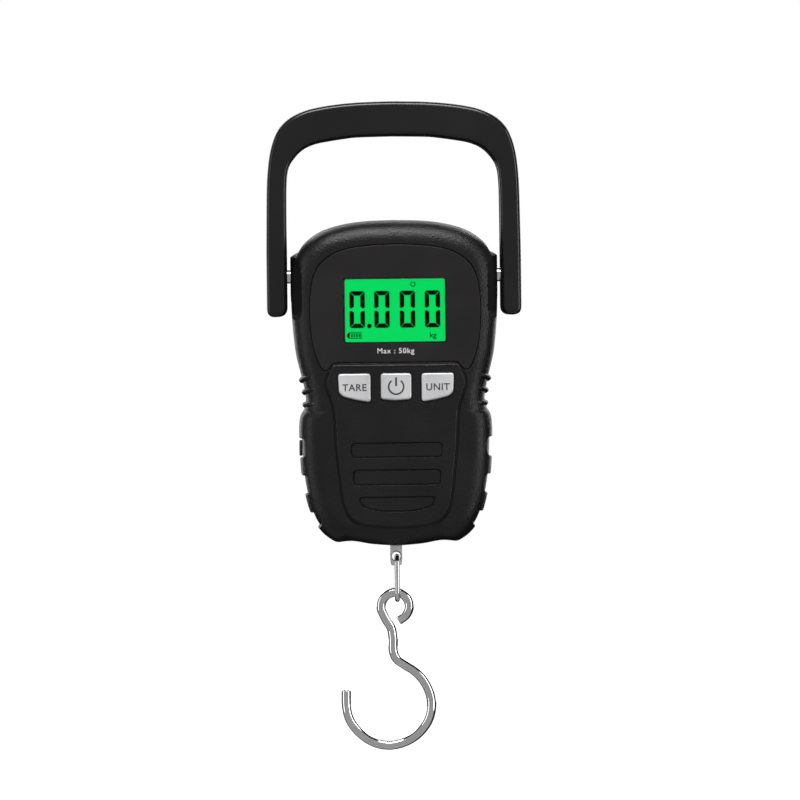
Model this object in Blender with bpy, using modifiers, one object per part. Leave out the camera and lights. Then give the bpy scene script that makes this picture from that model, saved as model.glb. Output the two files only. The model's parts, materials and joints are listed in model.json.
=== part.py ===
"""A handheld digital hanging scale: fold-over handle, two-part shell, load cell, hook and pull-out tape.

The front of the scale faces -Y and +Z is up. The origin is the middle of the handle bar's underside.
Sizes are written in millimetres and turned into metres by at().
"""

import math

import bmesh
import bpy
from mathutils import Matrix

for old in list(bpy.data.objects):
    bpy.data.objects.remove(old, do_unlink=True)

# ---------------------------------------------------------------- driving sizes (mm)
BODY_WIDTH = 76.0
BODY_HEIGHT = 120.1
BODY_DEPTH = 31.0
HANDLE_RISE = 52.5  # from the pivot up to the underside of the handle bar
ARM_WIDTH = 7.6
HANDLE_DEPTH = 13.0
WALL = 2.0
PANEL_THICK = 1.2
FRONT_WALL = 3.1  # carries the display panel in a recess
ROD_RADIUS = 2.6
HOOK_WIRE = 1.75
LINK_WIRE = 0.9
BUTTON_TRAVEL = 0.5

# ---------------------------------------------------------------- clearances (mm)
GAP = 0.3
SPLIT = 0.15  # each half stops this far from the parting plane
ROD_BORE = ROD_RADIUS + GAP
SCREW_SHANK = 1.0
SCREW_BORE = SCREW_SHANK + GAP

# ---------------------------------------------------------------- sizes that follow
MM = 0.001
WIDE = BODY_WIDTH / 76.0
TALL = BODY_HEIGHT / 120.1
FACE_Y = BODY_DEPTH / 2
EDGE_X = 8.0  # how far in the rounded edge reaches on the face
EDGE_Y = 8.5  # how far back it reaches on the side
SIDE_Y = FACE_Y - EDGE_Y
INNER_FRONT = FACE_Y - FRONT_WALL
INNER_REAR = FACE_Y - WALL
EAR_X = 38.2 * WIDE
ARM_IN = EAR_X + 1.2
ARM_OUT = ARM_IN + ARM_WIDTH
BOTTOM = -99.8 * TALL
PAD_RISE = 0.8
PAD_Y = FACE_Y + PAD_RISE

# ---------------------------------------------------------------- collections
parts = bpy.data.collections.new("digital_fish_scale")
cutters = bpy.data.collections.new("cutters")
bpy.context.scene.collection.children.link(parts)
bpy.context.scene.collection.children.link(cutters)
cutters.hide_render = True

BLACK = (0.022, 0.022, 0.023)
PANEL_BLACK = (0.016, 0.016, 0.018)
SILVER = (0.52, 0.53, 0.54)
STEEL = (0.62, 0.61, 0.59)
BRASS = (0.72, 0.52, 0.2)


def material(name, colour, roughness, metallic):
    made = bpy.data.materials.new(name)
    made.use_nodes = True
    shader = made.node_tree.nodes["Principled BSDF"]
    shader.inputs["Base Color"].default_value = (*colour, 1.0)
    shader.inputs["Roughness"].default_value = roughness
    shader.inputs["Metallic"].default_value = metallic
    made.diffuse_color = (*colour, 1.0)
    return made


def at(x, y, z):
    """A point given in millimetres from the handle pivot, in metres from the origin."""
    return (x * MM, y * MM, (z - HANDLE_RISE) * MM)


def place(name, data, colour=None, roughness=0.5, metallic=0.0):
    """Makes an object of data. With a colour it is a part, and without one it is a cutter."""
    made = bpy.data.objects.new(name, data)
    if colour is None:
        made.hide_render = True
        made.display_type = "WIRE"
        return made
    parts.objects.link(made)
    data.materials.append(material(name, colour, roughness, metallic))
    return made


def centre_on(made, x, y, z):
    """Moves the object's origin to its joint axis and leaves its shape where it was."""
    spot = at(x, y, z)
    for corner in made.data.vertices:
        corner.co = [corner.co[i] - spot[i] for i in range(3)]
    made.location = spot


def mesh_of(name, bm, smooth=False):
    bmesh.ops.recalc_face_normals(bm, faces=bm.faces)
    data = bpy.data.meshes.new(name)
    bm.to_mesh(data)
    bm.free()
    if smooth:
        data.shade_smooth()
        data.set_sharp_from_angle(angle=math.radians(32))
    return data


def add_box(bm, x, y, z):
    """Each of x, y and z is a (low, high) pair."""
    middle = Matrix.Translation(at(sum(x) / 2, sum(y) / 2, sum(z) / 2))
    size = Matrix.Diagonal([(high - low) * MM for low, high in (x, y, z)] + [1.0])
    bmesh.ops.create_cube(bm, size=1.0, matrix=middle @ size)


ALONG = {
    "X": Matrix.Rotation(math.pi / 2, 4, "Y"),
    "Y": Matrix.Rotation(-math.pi / 2, 4, "X"),
}


def on_axis(axis, centre, along):
    """A frame whose Z runs along the axis. centre is (y, z) for the X axis and (x, z) for the Y axis."""
    if axis == "X":
        spot = at(along, *centre)
    else:
        spot = at(centre[0], along, centre[1])
    return Matrix.Translation(spot) @ ALONG[axis]


def add_rod(bm, axis, centre, radius, span, sides=16):
    bmesh.ops.create_cone(
        bm,
        cap_ends=True,
        segments=sides,
        radius1=radius * MM,
        radius2=radius * MM,
        depth=(span[1] - span[0]) * MM,
        matrix=on_axis(axis, centre, sum(span) / 2),
    )


def turned(name, axis, centre, profile, colour, roughness=0.35, metallic=1.0, sides=16):
    """A turned piece. profile is (distance along the axis, radius) from one end to the other."""
    if profile[0][0] < profile[-1][0]:
        profile = profile[::-1]
    points = [(0.0, profile[0][0])] + [(r, along) for along, r in profile] + [(0.0, profile[-1][0])]
    data = bpy.data.meshes.new(name)
    edges = [(i, i + 1) for i in range(len(points) - 1)]
    data.from_pydata([(r * MM, 0.0, along * MM) for r, along in points], edges, [])
    made = place(name, data, colour, roughness, metallic)
    made.matrix_world = on_axis(axis, centre, 0.0)
    spin = made.modifiers.new("turn", "SCREW")
    spin.axis = "Z"
    spin.steps = sides
    spin.render_steps = sides
    spin.use_merge_vertices = True
    spin.merge_threshold = 0.000001
    spin.use_smooth_shade = False
    return made


def add_plate(bm, outline, span, axis="Y", edge=0.0, tilt=None):
    """A flat plate with this outline, (x, z) for the Y axis or (y, z) for the X axis.

    edge chamfers its rims.
    """
    outline = without_straight_points(outline)
    line = bpy.data.curves.new("plate", "CURVE")
    line.dimensions = "2D"
    line.fill_mode = "BOTH"
    line.resolution_u = 1
    line.extrude = (abs(span[1] - span[0]) / 2 - edge) * MM
    line.bevel_depth = edge * MM
    line.bevel_resolution = 0
    line.offset = -edge * MM
    spline = line.splines.new("POLY")
    spline.points.add(len(outline) - 1)
    spline.use_cyclic_u = True
    for spot, (u, v) in zip(spline.points, outline):
        spot.co = (u * MM, v * MM, 0.0, 1.0)
    guide = bpy.data.objects.new("plate", line)
    bpy.context.scene.collection.objects.link(guide)
    graph = bpy.context.evaluated_depsgraph_get()
    data = bpy.data.meshes.new_from_object(guide.evaluated_get(graph))
    bpy.data.objects.remove(guide, do_unlink=True)
    middle = sum(span) / 2
    if axis == "Y":
        stand = Matrix(((1, 0, 0, 0), (0, 0, -1, 0), (0, 1, 0, 0), (0, 0, 0, 1)))
        data.transform(Matrix.Translation(at(0, middle, 0)) @ stand)
    else:
        stand = Matrix(((0, 0, 1, 0), (1, 0, 0, 0), (0, 1, 0, 0), (0, 0, 0, 1)))
        data.transform(Matrix.Translation(at(middle, 0, 0)) @ stand)
    if tilt:
        data.transform(tilt)
    plate = bmesh.new()
    plate.from_mesh(data)
    bmesh.ops.remove_doubles(plate, verts=plate.verts, dist=0.000001)
    plate.to_mesh(data)
    plate.free()
    bm.from_mesh(data)
    bpy.data.meshes.remove(data)


def loft(bm, rings):
    """A closed solid through rings that hold the same number of points."""
    rows = [[bm.verts.new(at(*p)) for p in ring] for ring in rings]
    count = len(rows[0])
    for first, second in zip(rows, rows[1:]):
        for i in range(count):
            j = (i + 1) % count
            bm.faces.new((first[i], first[j], second[j], second[i]))
    bm.faces.new(rows[0][::-1])
    bm.faces.new(rows[-1])


def shrink(outline, by, mid_x, mid_z):
    """Moves each point in by this distance, measured square to the outline, towards the middle."""
    count = len(outline)
    moved = []
    for i, (x, z) in enumerate(outline):
        before = outline[i - 1]
        after = outline[(i + 1) % count]
        nx, nz = after[1] - before[1], before[0] - after[0]
        length = math.hypot(nx, nz) or 1.0
        nx, nz = nx / length, nz / length
        if nx * (x - mid_x) + nz * (z - mid_z) < 0:
            nx, nz = -nx, -nz
        first = (x - before[0], z - before[1])
        second = (after[0] - x, after[1] - z)
        cosine = (first[0] * second[0] + first[1] * second[1]) / (
            math.hypot(*first) * math.hypot(*second) or 1.0
        )
        mitre = math.sqrt(max((1 + cosine) / 2, 0.2))
        moved.append((x - nx * by / mitre, z - nz * by / mitre))
    return moved


def rounded(x0, x1, z0, z1, radius, steps=3):
    """A rectangle with rounded corners, as (x, z) points."""
    points = []
    for cx, cz, start in (
        (x1 - radius, z1 - radius, 0),
        (x0 + radius, z1 - radius, 90),
        (x0 + radius, z0 + radius, 180),
        (x1 - radius, z0 + radius, 270),
    ):
        for i in range(steps + 1):
            turn = math.radians(start + 90 * i / steps)
            points.append((cx + radius * math.cos(turn), cz + radius * math.sin(turn)))
    return points


def mirrored(half):
    """Closes a right half, listed top to bottom, with its left half."""
    return half + [(-x, z) for x, z in reversed(half) if x > 1e-6]


def without_straight_points(outline):
    """Leaves out each point that lies on the straight line between its neighbours."""
    kept = []
    for i, (x, z) in enumerate(outline):
        x0, z0 = outline[i - 1]
        x1, z1 = outline[(i + 1) % len(outline)]
        if abs((x - x0) * (z1 - z) - (z - z0) * (x1 - x)) > 1e-6:
            kept.append((x, z))
    return kept


def flow(keys, steps):
    """A smooth curve through the key points."""
    points = []
    for i in range(len(keys) - 1):
        p0 = keys[max(i - 1, 0)]
        p1 = keys[i]
        p2 = keys[i + 1]
        p3 = keys[min(i + 2, len(keys) - 1)]
        for k in range(steps):
            t = k / steps
            points.append(
                tuple(
                    0.5
                    * (
                        2 * p1[a]
                        + (p2[a] - p0[a]) * t
                        + (2 * p0[a] - 5 * p1[a] + 4 * p2[a] - p3[a]) * t**2
                        + (3 * p1[a] - p0[a] - 3 * p2[a] + p3[a]) * t**3
                    )
                    for a in range(len(p1))
                )
            )
    points.append(tuple(keys[-1]))
    return points


def tube(name, points, radius, colour, closed=False, sides=2, roughness=0.25, metallic=1.0):
    """A round wire along the points, with flat ends."""
    line = bpy.data.curves.new(name, "CURVE")
    line.dimensions = "3D"
    line.bevel_depth = radius * MM
    line.bevel_resolution = sides
    line.resolution_u = 1
    line.use_fill_caps = not closed
    spline = line.splines.new("POLY")
    spline.points.add(len(points) - 1)
    spline.use_cyclic_u = closed
    spline.use_smooth = True
    for spot, point in zip(spline.points, points):
        spot.co = (*at(*point), 1.0)
    return place(name, line, colour, roughness, metallic)


def settle(made, origin=None):
    """Turns a wire into a mesh so that it can carry an origin or take a cut."""
    graph = bpy.context.evaluated_depsgraph_get()
    data = bpy.data.meshes.new_from_object(made.evaluated_get(graph))
    bm = bmesh.new()
    bm.from_mesh(data)
    bmesh.ops.remove_doubles(bm, verts=bm.verts, dist=1e-6)
    bmesh.ops.recalc_face_normals(bm, faces=bm.faces)
    bm.to_mesh(data)
    bm.free()
    name = made.name
    look = made.data.materials[0]
    bpy.data.objects.remove(made, do_unlink=True)
    kept = bpy.data.objects.new(name, data)
    if not data.materials:
        data.materials.append(look)
    parts.objects.link(kept)
    if origin:
        centre_on(kept, *origin)
    return kept


def combine(target, other, operation):
    """Joins other to the target, or cuts it away. All the joins are one Boolean, and so are all the cuts."""
    label = f"{target.name}_{operation.lower()}"
    group = bpy.data.collections.get(label)
    if group is None:
        group = bpy.data.collections.new(label)
        group.hide_render = True
        cutters.children.link(group)
        step = target.modifiers.new(label, "BOOLEAN")
        step.operation = operation
        step.solver = "EXACT"
        step.operand_type = "COLLECTION"
        step.collection = group
    group.objects.link(other)


def cutter(name, bm):
    return place(name, mesh_of(name, bm))


def part(name, bm, colour, roughness=0.5, metallic=0.0, origin=None, smooth=False):
    made = place(name, mesh_of(name, bm, smooth), colour, roughness, metallic)
    if origin:
        centre_on(made, *origin)
    return made


# ================================================================ body outline
SIDE_KEYS = [
    (0, 20.3),
    (10, 20.0),
    (18.1, 19.0),
    (25.9, 16.8),
    (31.4, 13.5),
    (34.9, 9.4),
    (37.0, 3.5),
    (37.9, -4.0),
    (37.9, -12.0),
    (37.3, -20.9),
    (36.5, -28.0),
    (35.4, -33.1),
    (33.9, -39.0),
    (32.9, -45.0),
    (33.4, -48.6),
    (34.9, -51.3),
    (35.5, -55.0),
    (35.5, -62.0),
    (35.1, -70.5),
    (34.2, -77.5),
    (32.5, -85.0),
    (30.1, -91.0),
    (26.8, -95.3),
    (22.4, -98.4),
]
FOOT_KEYS = [(22.4, -98.4), (16.5, -97.9), (9.0, -99.1), (0, -99.8)]
half_side = [(x * WIDE, z * TALL) for x, z in SIDE_KEYS]
half_foot = [(x * WIDE, z * TALL) for x, z in FOOT_KEYS]
OUTLINE = mirrored(half_side + half_foot[1:])
SPINE_TOP = -14.0 * TALL
SPINE_LOW = -76.0 * TALL


def side_at(z):
    """Half the body's width at this height."""
    for (x0, z0), (x1, z1) in zip(half_side[4:], half_side[5:]):
        if z1 <= z <= z0:
            return x0 + (x1 - x0) * (z0 - z) / (z0 - z1)
    return half_side[-1][0]


def lean_at(z):
    """How far the side wall leans from upright at this height, in radians."""
    return math.atan2(side_at(z + 1.5) - side_at(z - 1.5), 3.0)


def inset(distance):
    """The body outline moved in, along spokes that meet on the body's middle line."""
    moved = []
    count = len(OUTLINE)
    for i, (x, z) in enumerate(OUTLINE):
        hub = min(max(z, SPINE_LOW), SPINE_TOP)
        length = math.hypot(x, z - hub)
        ux, uz = x / length, (z - hub) / length
        before = OUTLINE[i - 1]
        after = OUTLINE[(i + 1) % count]
        nx, nz = before[1] - after[1], after[0] - before[0]
        size = math.hypot(nx, nz)
        facing = max(abs(ux * nx + uz * nz) / size, 0.75)
        reach = distance / facing
        moved.append((x - ux * reach, z - uz * reach))
    return moved


# ================================================================ grips, pockets, grooves
EAR_REACH = 9.5
RIBS = ((-38.4, 1.4), (-42.9, 1.3), (-47.6, 1.2))  # height, and how far the tip stands proud
RIB_HALF = 0.95
RIB_REACH = 8.4
POCKETS = ((-63.4, 3.6), (-77.0, 3.5), (-90.0, 2.9))  # height, and half the opening's height
POCKET_DEEP = 1.1
POCKET_REACH = 10.0
GROOVES = ((-61.7, -67.3, 16.9), (-71.6, -77.4, 16.2), (-81.6, -87.1, 14.0))  # top, foot, half width
GROOVE_DEEP = 0.7


def half_shell(bm, sign, deep):
    """A cup open at the parting plane.

    Its rounded edge is deeper than the outline's corners, so it is lofted.
    """
    rings = []
    for turn in (90, 74, 56, 38, 19, 0):
        angle = math.radians(turn)
        line = inset(EDGE_X * (1 - math.cos(angle)))
        y = sign * (SIDE_Y + EDGE_Y * math.sin(angle))
        rings.append([(x, y, z) for x, z in line])
    rings.append([(x, 0.0, z) for x, z in OUTLINE])
    rings.append([(x, 0.0, z) for x, z in inset(WALL)])
    for turn in (0, 50, 90):
        angle = math.radians(turn)
        line = inset(WALL + (EDGE_X - WALL) * (1 - math.cos(angle)))
        y = sign * (SIDE_Y + (deep - SIDE_Y) * math.sin(angle))
        rings.append([(x, y, z) for x, z in line])
    loft(bm, rings)


def side_form():
    """The flat ears beside the handle arms, and the grip ribs at the waist."""
    bm = bmesh.new()
    for side in (-1, 1):
        ear = [
            (34.4 * WIDE, 10.4),
            (36.0 * WIDE, 9.2),
            (37.5 * WIDE, 8.0),
            (EAR_X, 6.7),
            (EAR_X, -7.0),
            (37.9 * WIDE, -11.0),
            (34.4 * WIDE, -11.0),
        ]
        add_plate(bm, [(side * x, z) for x, z in ear], (-EAR_REACH, EAR_REACH), edge=0.25)
        for height, proud in RIBS:
            z = height * TALL
            low = side_at(z) - WALL + 0.4
            tip = side_at(z) + proud
            half_rib = [(low, RIB_HALF * 1.5), (tip - 0.5, RIB_HALF), (tip, RIB_HALF * 0.4)]
            bar = [(side * x, z + v) for x, v in half_rib]
            bar += [(side * x, z - v) for x, v in reversed(half_rib)]
            add_plate(bm, bar, (-RIB_REACH, RIB_REACH), edge=0.3)
    return cutter("ears_and_ribs", bm)


def stadium(middle, reach, half):
    """A slot outline with round ends, as (along, up) points."""
    points = []
    for end in (1, -1):
        for i in range(5):
            turn = math.radians(45 * i)
            along = middle + end * (reach - half + half * math.sin(turn))
            points.append((along, end * half * math.cos(turn)))
    return points


def side_recesses():
    """Three slots with round ends in each side, sunk square to the wall."""
    bm = bmesh.new()
    for height, half in POCKETS:
        z = height * TALL
        for side in (-1, 1):
            wall = at(side * side_at(z), 0, z)
            lean = Matrix.Rotation(side * lean_at(z), 4, "Y")
            tilt = Matrix.Translation(wall) @ lean @ Matrix.Translation((-wall[0], 0, HANDLE_RISE * MM))
            span = sorted((side * (side_at(z) - POCKET_DEEP), side * (side_at(z) + 3)))
            add_plate(bm, stadium(0, POCKET_REACH, half), span, axis="X", tilt=tilt)
    return cutter("side_pockets", bm)


# ================================================================ display panel and pad outlines
PANEL_KEYS = [
    (0, 11.1),
    (9.5, 10.7),
    (18.4, 9.4),
    (25.0, 6.6),
    (29.3, 2.2),
    (31.3, -4.0),
    (32.0, -13.0),
    (31.5, -21.5),
    (30.3, -28.0),
    (28.7, -32.4),
    (27.3, -34.6),
    (25.9, -34.9),
    (24.2, -33.3),
    (22.3, -32.1),
    (0, -32.1),
]
PAD_KEYS = [
    (0, -32.9),
    (22.0, -32.9),
    (23.6, -34.0),
    (25.1, -37.5),
    (25.4, -41.0),
    (23.6, -46.5),
    (22.5, -51.5),
    (21.9, -63.5),
    (21.1, -71.0),
    (20.1, -80.0),
    (19.0, -85.5),
    (16.2, -90.0),
    (10.0, -92.2),
    (0, -92.9),
]
panel_line = mirrored([(x * WIDE, z * TALL) for x, z in PANEL_KEYS])
pad_line = mirrored([(x * WIDE, z * TALL) for x, z in PAD_KEYS])
WINDOW_X = 18.7
WINDOW_TOP = -1.4
WINDOW_LOW = -24.8


def window_line(extra):
    x = WINDOW_X + extra
    return rounded(-x, x, WINDOW_LOW - extra, WINDOW_TOP + extra, 0.5 + extra / 2)


# ================================================================ buttons
BUTTON_TOP = -36.3
BUTTON_LOW = -46.5
BUTTON_X = 15.2
BUTTON_Z = -41.5


def side_button(side):
    line = [
        (9.4, BUTTON_TOP),
        (20.8, BUTTON_TOP),
        (21.3, BUTTON_TOP - 0.5),
        (21.3, BUTTON_LOW + 2.4),
        (20.9, BUTTON_LOW + 1.8),
        (18.6, BUTTON_LOW + 0.7),
        (14.6, BUTTON_LOW - 0.1),
        (9.4, BUTTON_LOW - 0.2),
    ]
    return [(side * x, z) for x, z in line]


middle_button = [
    (-5.6, BUTTON_TOP),
    (5.6, BUTTON_TOP),
    (5.6, BUTTON_LOW),
    (3.0, BUTTON_LOW - 0.3),
    (0.0, BUTTON_LOW - 0.4),
    (-3.0, BUTTON_LOW - 0.3),
    (-5.6, BUTTON_LOW),
]
BUTTONS = {
    "tare": (side_button(-1), -BUTTON_X),
    "power": (middle_button, 0.0),
    "unit": (side_button(1), BUTTON_X),
}
BUTTON_FRONT = PAD_Y + 0.7
BUTTON_GAP = 0.35
FLANGE_FRONT = INNER_FRONT - GAP
FLANGE_BACK = FLANGE_FRONT - 1.0

# ================================================================ levels and places inside
BOARD_FRONT = 6.9
BOARD_BACK = 5.3
BOARD_TOP = 8.4
BOARD_LOW = -53.0
SWITCH_FRONT = FLANGE_BACK - 1.1
SWITCH_BACK = BOARD_FRONT + GAP
SHELL_SCREWS = ((-15.0, 12.0), (15.0, 12.0), (-21.0, -87.0 * TALL), (21.0, -87.0 * TALL))
BOARD_SCREWS = ((-20.0, BOARD_TOP - 2.8), (20.0, BOARD_TOP - 2.8), (0.0, BOARD_LOW + 2.2))
HEAD_SEAT = 6.4  # the bottom of a shell screw's counterbore

BAY_X = 26.4
BAY_TOP = -(ROD_BORE + 2.8)
BAY_LOW = -30.3
BAY_SKIN = 1.6
BAY_FLOOR = 2.7
CELL_RADIUS = 5.25
CELL_LENGTH = 44.5
CELL_Y = BAY_FLOOR + CELL_RADIUS + 0.35
CELL_Z = (-12.0, -24.0)
DOOR_IN = FACE_Y - 1.65
KNUCKLE = 1.15
DOOR_AXIS = (FACE_Y - KNUCKLE, BAY_TOP - KNUCKLE - GAP)
DOOR_PIN = 0.6
DOOR_X = BAY_X - GAP

TAPE_X = 2.0
TAPE_Z = -76.0 * TALL
TAPE_RADIUS = 11.6
TAPE_NEAR = 4.0
TAPE_FAR = 8.8
BLADE_Z = TAPE_Z + TAPE_RADIUS + GAP + 0.1
TAB_Z = POCKETS[0][0] * TALL

BRACKET_X = 2.25
BRACKET_Y = 1.0
BRACKET_HOLE = -103.8 * TALL
BRACKET_LOW = BRACKET_HOLE - 3.4
CELL_TOP = -52.0
CELL_LOW = -92.0 * TALL
CELL_MID = (CELL_TOP + CELL_LOW) / 2
CELL_Y_HALF = 3.0
PIN_TOP = CELL_TOP - 3.4
PIN_LOW = CELL_LOW + 3.5
PIN_RADIUS = 1.2
LINK_RADIUS = HOOK_WIRE + LINK_WIRE + GAP
LINK_TOP = BRACKET_HOLE - LINK_RADIUS
LINK_LOW = LINK_TOP - 10.2
LINK_FOOT = LINK_LOW - LINK_RADIUS
EYE_RADIUS = 5.2
EYE_Z = LINK_FOOT + LINK_WIRE + GAP + HOOK_WIRE - EYE_RADIUS
ROD_END = ARM_IN + 5.0

sides = side_form()
pockets = side_recesses()


def both_ways(reach, side):
    """A (low, high) pair from two distances out along one side."""
    return tuple(sorted((side * reach[0], side * reach[1])))


def rod_bore():
    bm = bmesh.new()
    add_rod(bm, "X", (0, 0), ROD_BORE, (-EAR_X - 4, EAR_X + 4), 24)
    return bm


def shell_cuts(bm, sign):
    """What is cut through both halves: the parting gap, the rod's bore and the bracket's slot."""
    add_box(bm, (-BODY_WIDTH, BODY_WIDTH), both_ways((SPLIT, -BODY_DEPTH), sign), (BOTTOM - 20, 30))
    rod = cutter(f"rod_bore_{sign}", rod_bore())
    slot = bmesh.new()
    slot_x = BRACKET_X + 0.4
    slot_y = BRACKET_Y + 0.4
    add_box(slot, (-slot_x, slot_x), (-slot_y, slot_y), (BOTTOM - 3, BOTTOM + 5))
    return rod, cutter(f"bracket_slot_{sign}", slot)


# ================================================================ front shell
bm = bmesh.new()
half_shell(bm, -1, INNER_FRONT)
front_shell = part("front_shell", bm, BLACK, 0.55, smooth=True)
combine(front_shell, sides, "UNION")

bm = bmesh.new()
add_plate(bm, pad_line, (-PAD_Y, -(FACE_Y - 0.9)), edge=0.5)
for x, z in SHELL_SCREWS:
    add_rod(bm, "Y", (x, z), 2.7, (-INNER_FRONT - 0.6, 1.0))
for x, z in BOARD_SCREWS:
    add_rod(bm, "Y", (x, z), 2.1, (-INNER_FRONT - 0.6, -BOARD_FRONT - GAP), 14)
combine(front_shell, cutter("pad_and_posts", bm), "UNION")

bm = bmesh.new()
gapped = shrink(panel_line, -GAP, 0.0, -14.0 * TALL)
add_plate(bm, gapped, (-(FACE_Y + 1.5), -(FACE_Y - PANEL_THICK - GAP)))
combine(front_shell, cutter("panel_recess", bm), "DIFFERENCE")

bm = bmesh.new()
add_plate(bm, window_line(0), (-FACE_Y, -INNER_FRONT + 1.0))
for line, x in BUTTONS.values():
    add_plate(bm, shrink(line, -BUTTON_GAP, x, BUTTON_Z), (-(PAD_Y + 1.5), -INNER_FRONT + 1.0))
for x, z in SHELL_SCREWS:
    add_rod(bm, "Y", (x, z), SCREW_BORE, (-8.6, 2.0), 14)
for x, z in BOARD_SCREWS:
    add_rod(bm, "Y", (x, z), 1.1, (-11.6, -5.0), 12)
combine(front_shell, cutter("front_openings", bm), "DIFFERENCE")

bm = bmesh.new()
for number, (top, low, reach) in enumerate(GROOVES):
    half = reach * WIDE
    if number < 2:
        line = rounded(-half, half, low * TALL, top * TALL, 1.6)
    else:
        right = [(half - 0.8, top), (half, top - 0.8), (half, top - 1.6), (0.86 * half, low + 1.5)]
        right += [(0.62 * half, low + 0.5), (0.32 * half, low)]
        line = mirrored([(0.0, top)] + right + [(0.0, low - 0.2)])
        line = [(x, z * TALL) for x, z in line]
    add_plate(bm, line, (-(PAD_Y + 1.0), -(PAD_Y - GROOVE_DEEP)))
combine(front_shell, cutter("pad_grooves", bm), "DIFFERENCE")
combine(front_shell, pockets, "DIFFERENCE")

bm = bmesh.new()
rod_cut, slot_cut = shell_cuts(bm, -1)
combine(front_shell, rod_cut, "DIFFERENCE")
combine(front_shell, slot_cut, "DIFFERENCE")
combine(front_shell, cutter("front_parting", bm), "DIFFERENCE")

# ================================================================ rear shell
bm = bmesh.new()
half_shell(bm, 1, INNER_REAR)
rear_shell = part("rear_shell", bm, BLACK, 0.55, smooth=True)
combine(rear_shell, sides, "UNION")

bm = bmesh.new()
bay = BAY_X + BAY_SKIN
add_box(bm, (-bay, bay), (BAY_FLOOR - 1.2, FACE_Y - 0.8), (BAY_LOW - BAY_SKIN, BAY_TOP + BAY_SKIN))
for x, z in SHELL_SCREWS:
    add_rod(bm, "Y", (x, z), 3.4, (-1.0, FACE_Y - 1.2))
add_rod(bm, "Y", (TAPE_X, TAPE_Z), 2.4, (TAPE_NEAR + 0.6, FACE_Y - 0.9))
combine(rear_shell, cutter("bay_and_posts", bm), "UNION")

bm = bmesh.new()
add_box(bm, (-BAY_X, BAY_X), (BAY_FLOOR, FACE_Y + 2), (BAY_LOW, BAY_TOP))
combine(rear_shell, cutter("bay", bm), "DIFFERENCE")

bm = bmesh.new()
add_box(bm, (-7.0, 7.0), (DOOR_IN - 0.1, FACE_Y + 2), (BAY_LOW - 3.3, BAY_LOW + 1))
for side in (-1, 1):
    add_rod(bm, "X", DOOR_AXIS, DOOR_PIN + 0.25, both_ways((BAY_X - 1, BAY_X + 1.3), side), 12)
    add_box(bm, both_ways((BAY_X - 1.0, BAY_X - 0.05), side), (0.5, BAY_FLOOR + 1), (-22.0, -14.0))
for x, z in SHELL_SCREWS:
    add_rod(bm, "Y", (x, z), 2.5, (HEAD_SEAT, FACE_Y + 2))
slot = (-side_at(BLADE_Z) - 2, -side_at(BLADE_Z) + 5)
add_box(bm, slot, (TAPE_NEAR - 0.2, TAPE_FAR + 0.2), (BLADE_Z - 0.5, BLADE_Z + 0.7))
add_rod(bm, "Y", (TAPE_X, TAPE_Z), 1.1, (2.0, 10.5), 12)
combine(rear_shell, cutter("rear_openings", bm), "DIFFERENCE")

bm = bmesh.new()
for x, z in SHELL_SCREWS:
    add_rod(bm, "Y", (x, z), SCREW_BORE, (-3.0, HEAD_SEAT + 1.0), 14)
combine(rear_shell, cutter("screw_bores", bm), "DIFFERENCE")
combine(rear_shell, pockets, "DIFFERENCE")

bm = bmesh.new()
rod_cut, slot_cut = shell_cuts(bm, 1)
combine(rear_shell, rod_cut, "DIFFERENCE")
combine(rear_shell, slot_cut, "DIFFERENCE")
combine(rear_shell, cutter("rear_parting", bm), "DIFFERENCE")

# ================================================================ display
bm = bmesh.new()
add_plate(bm, panel_line, (-FACE_Y, -(FACE_Y - PANEL_THICK)), edge=0.2)
display_panel = part("display_panel", bm, PANEL_BLACK, 0.35)
bm = bmesh.new()
add_plate(bm, window_line(0.7), (-(FACE_Y + 1), -(FACE_Y - 3)))
combine(display_panel, cutter("window_opening", bm), "DIFFERENCE")

bm = bmesh.new()
add_plate(bm, window_line(0.4), (-(FACE_Y - 0.25), -(FACE_Y - PANEL_THICK)))
part("lcd_window", bm, (0.75, 0.85, 0.8), 0.05)

bm = bmesh.new()
add_box(bm, (-20.4, 20.4), (-INNER_FRONT + GAP, -10.3), (-27.0, 0.6))
part("lcd_glass", bm, (0.02, 0.72, 0.13), 0.15)

bm = bmesh.new()
add_box(bm, (-20.0, 20.0), (-10.0, -7.6), (-26.4, 0.2))
part("backlight", bm, (0.7, 0.9, 0.72), 0.4)

bm = bmesh.new()
add_plate(bm, rounded(-22.3, 22.3, -28.8, 2.4, 0.8), (-INNER_FRONT + 0.4, -BOARD_FRONT - GAP))
lcd_frame = part("lcd_frame", bm, (0.85, 0.85, 0.83), 0.6)
bm = bmesh.new()
add_box(bm, (-20.75, 20.75), (-14.0, -6.0), (-27.75, 0.95))
combine(lcd_frame, cutter("frame_opening", bm), "DIFFERENCE")

bm = bmesh.new()
add_box(bm, (-18.0, 18.0), (-10.0, -BOARD_FRONT - GAP), (-27.4, -26.7))
part("contact_strip", bm, (0.35, 0.12, 0.16), 0.8)

# ================================================================ board
bm = bmesh.new()
board_half = [
    (0, BOARD_TOP),
    (24.0, BOARD_TOP),
    (26.0, BOARD_TOP - 2.0),
    (26.0, BOARD_LOW + 20.0),
    (23.0, BOARD_LOW + 17.0),
    (23.0, BOARD_LOW + 1.5),
    (21.5, BOARD_LOW),
    (0, BOARD_LOW),
]
add_plate(bm, mirrored(board_half), (-BOARD_FRONT, -BOARD_BACK))
main_board = part("main_board", bm, (0.03, 0.17, 0.06), 0.45)
bm = bmesh.new()
for x, z in BOARD_SCREWS:
    add_rod(bm, "Y", (x, z), 1.25, (-8.0, -4.0), 12)
combine(main_board, cutter("board_holes", bm), "DIFFERENCE")

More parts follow.
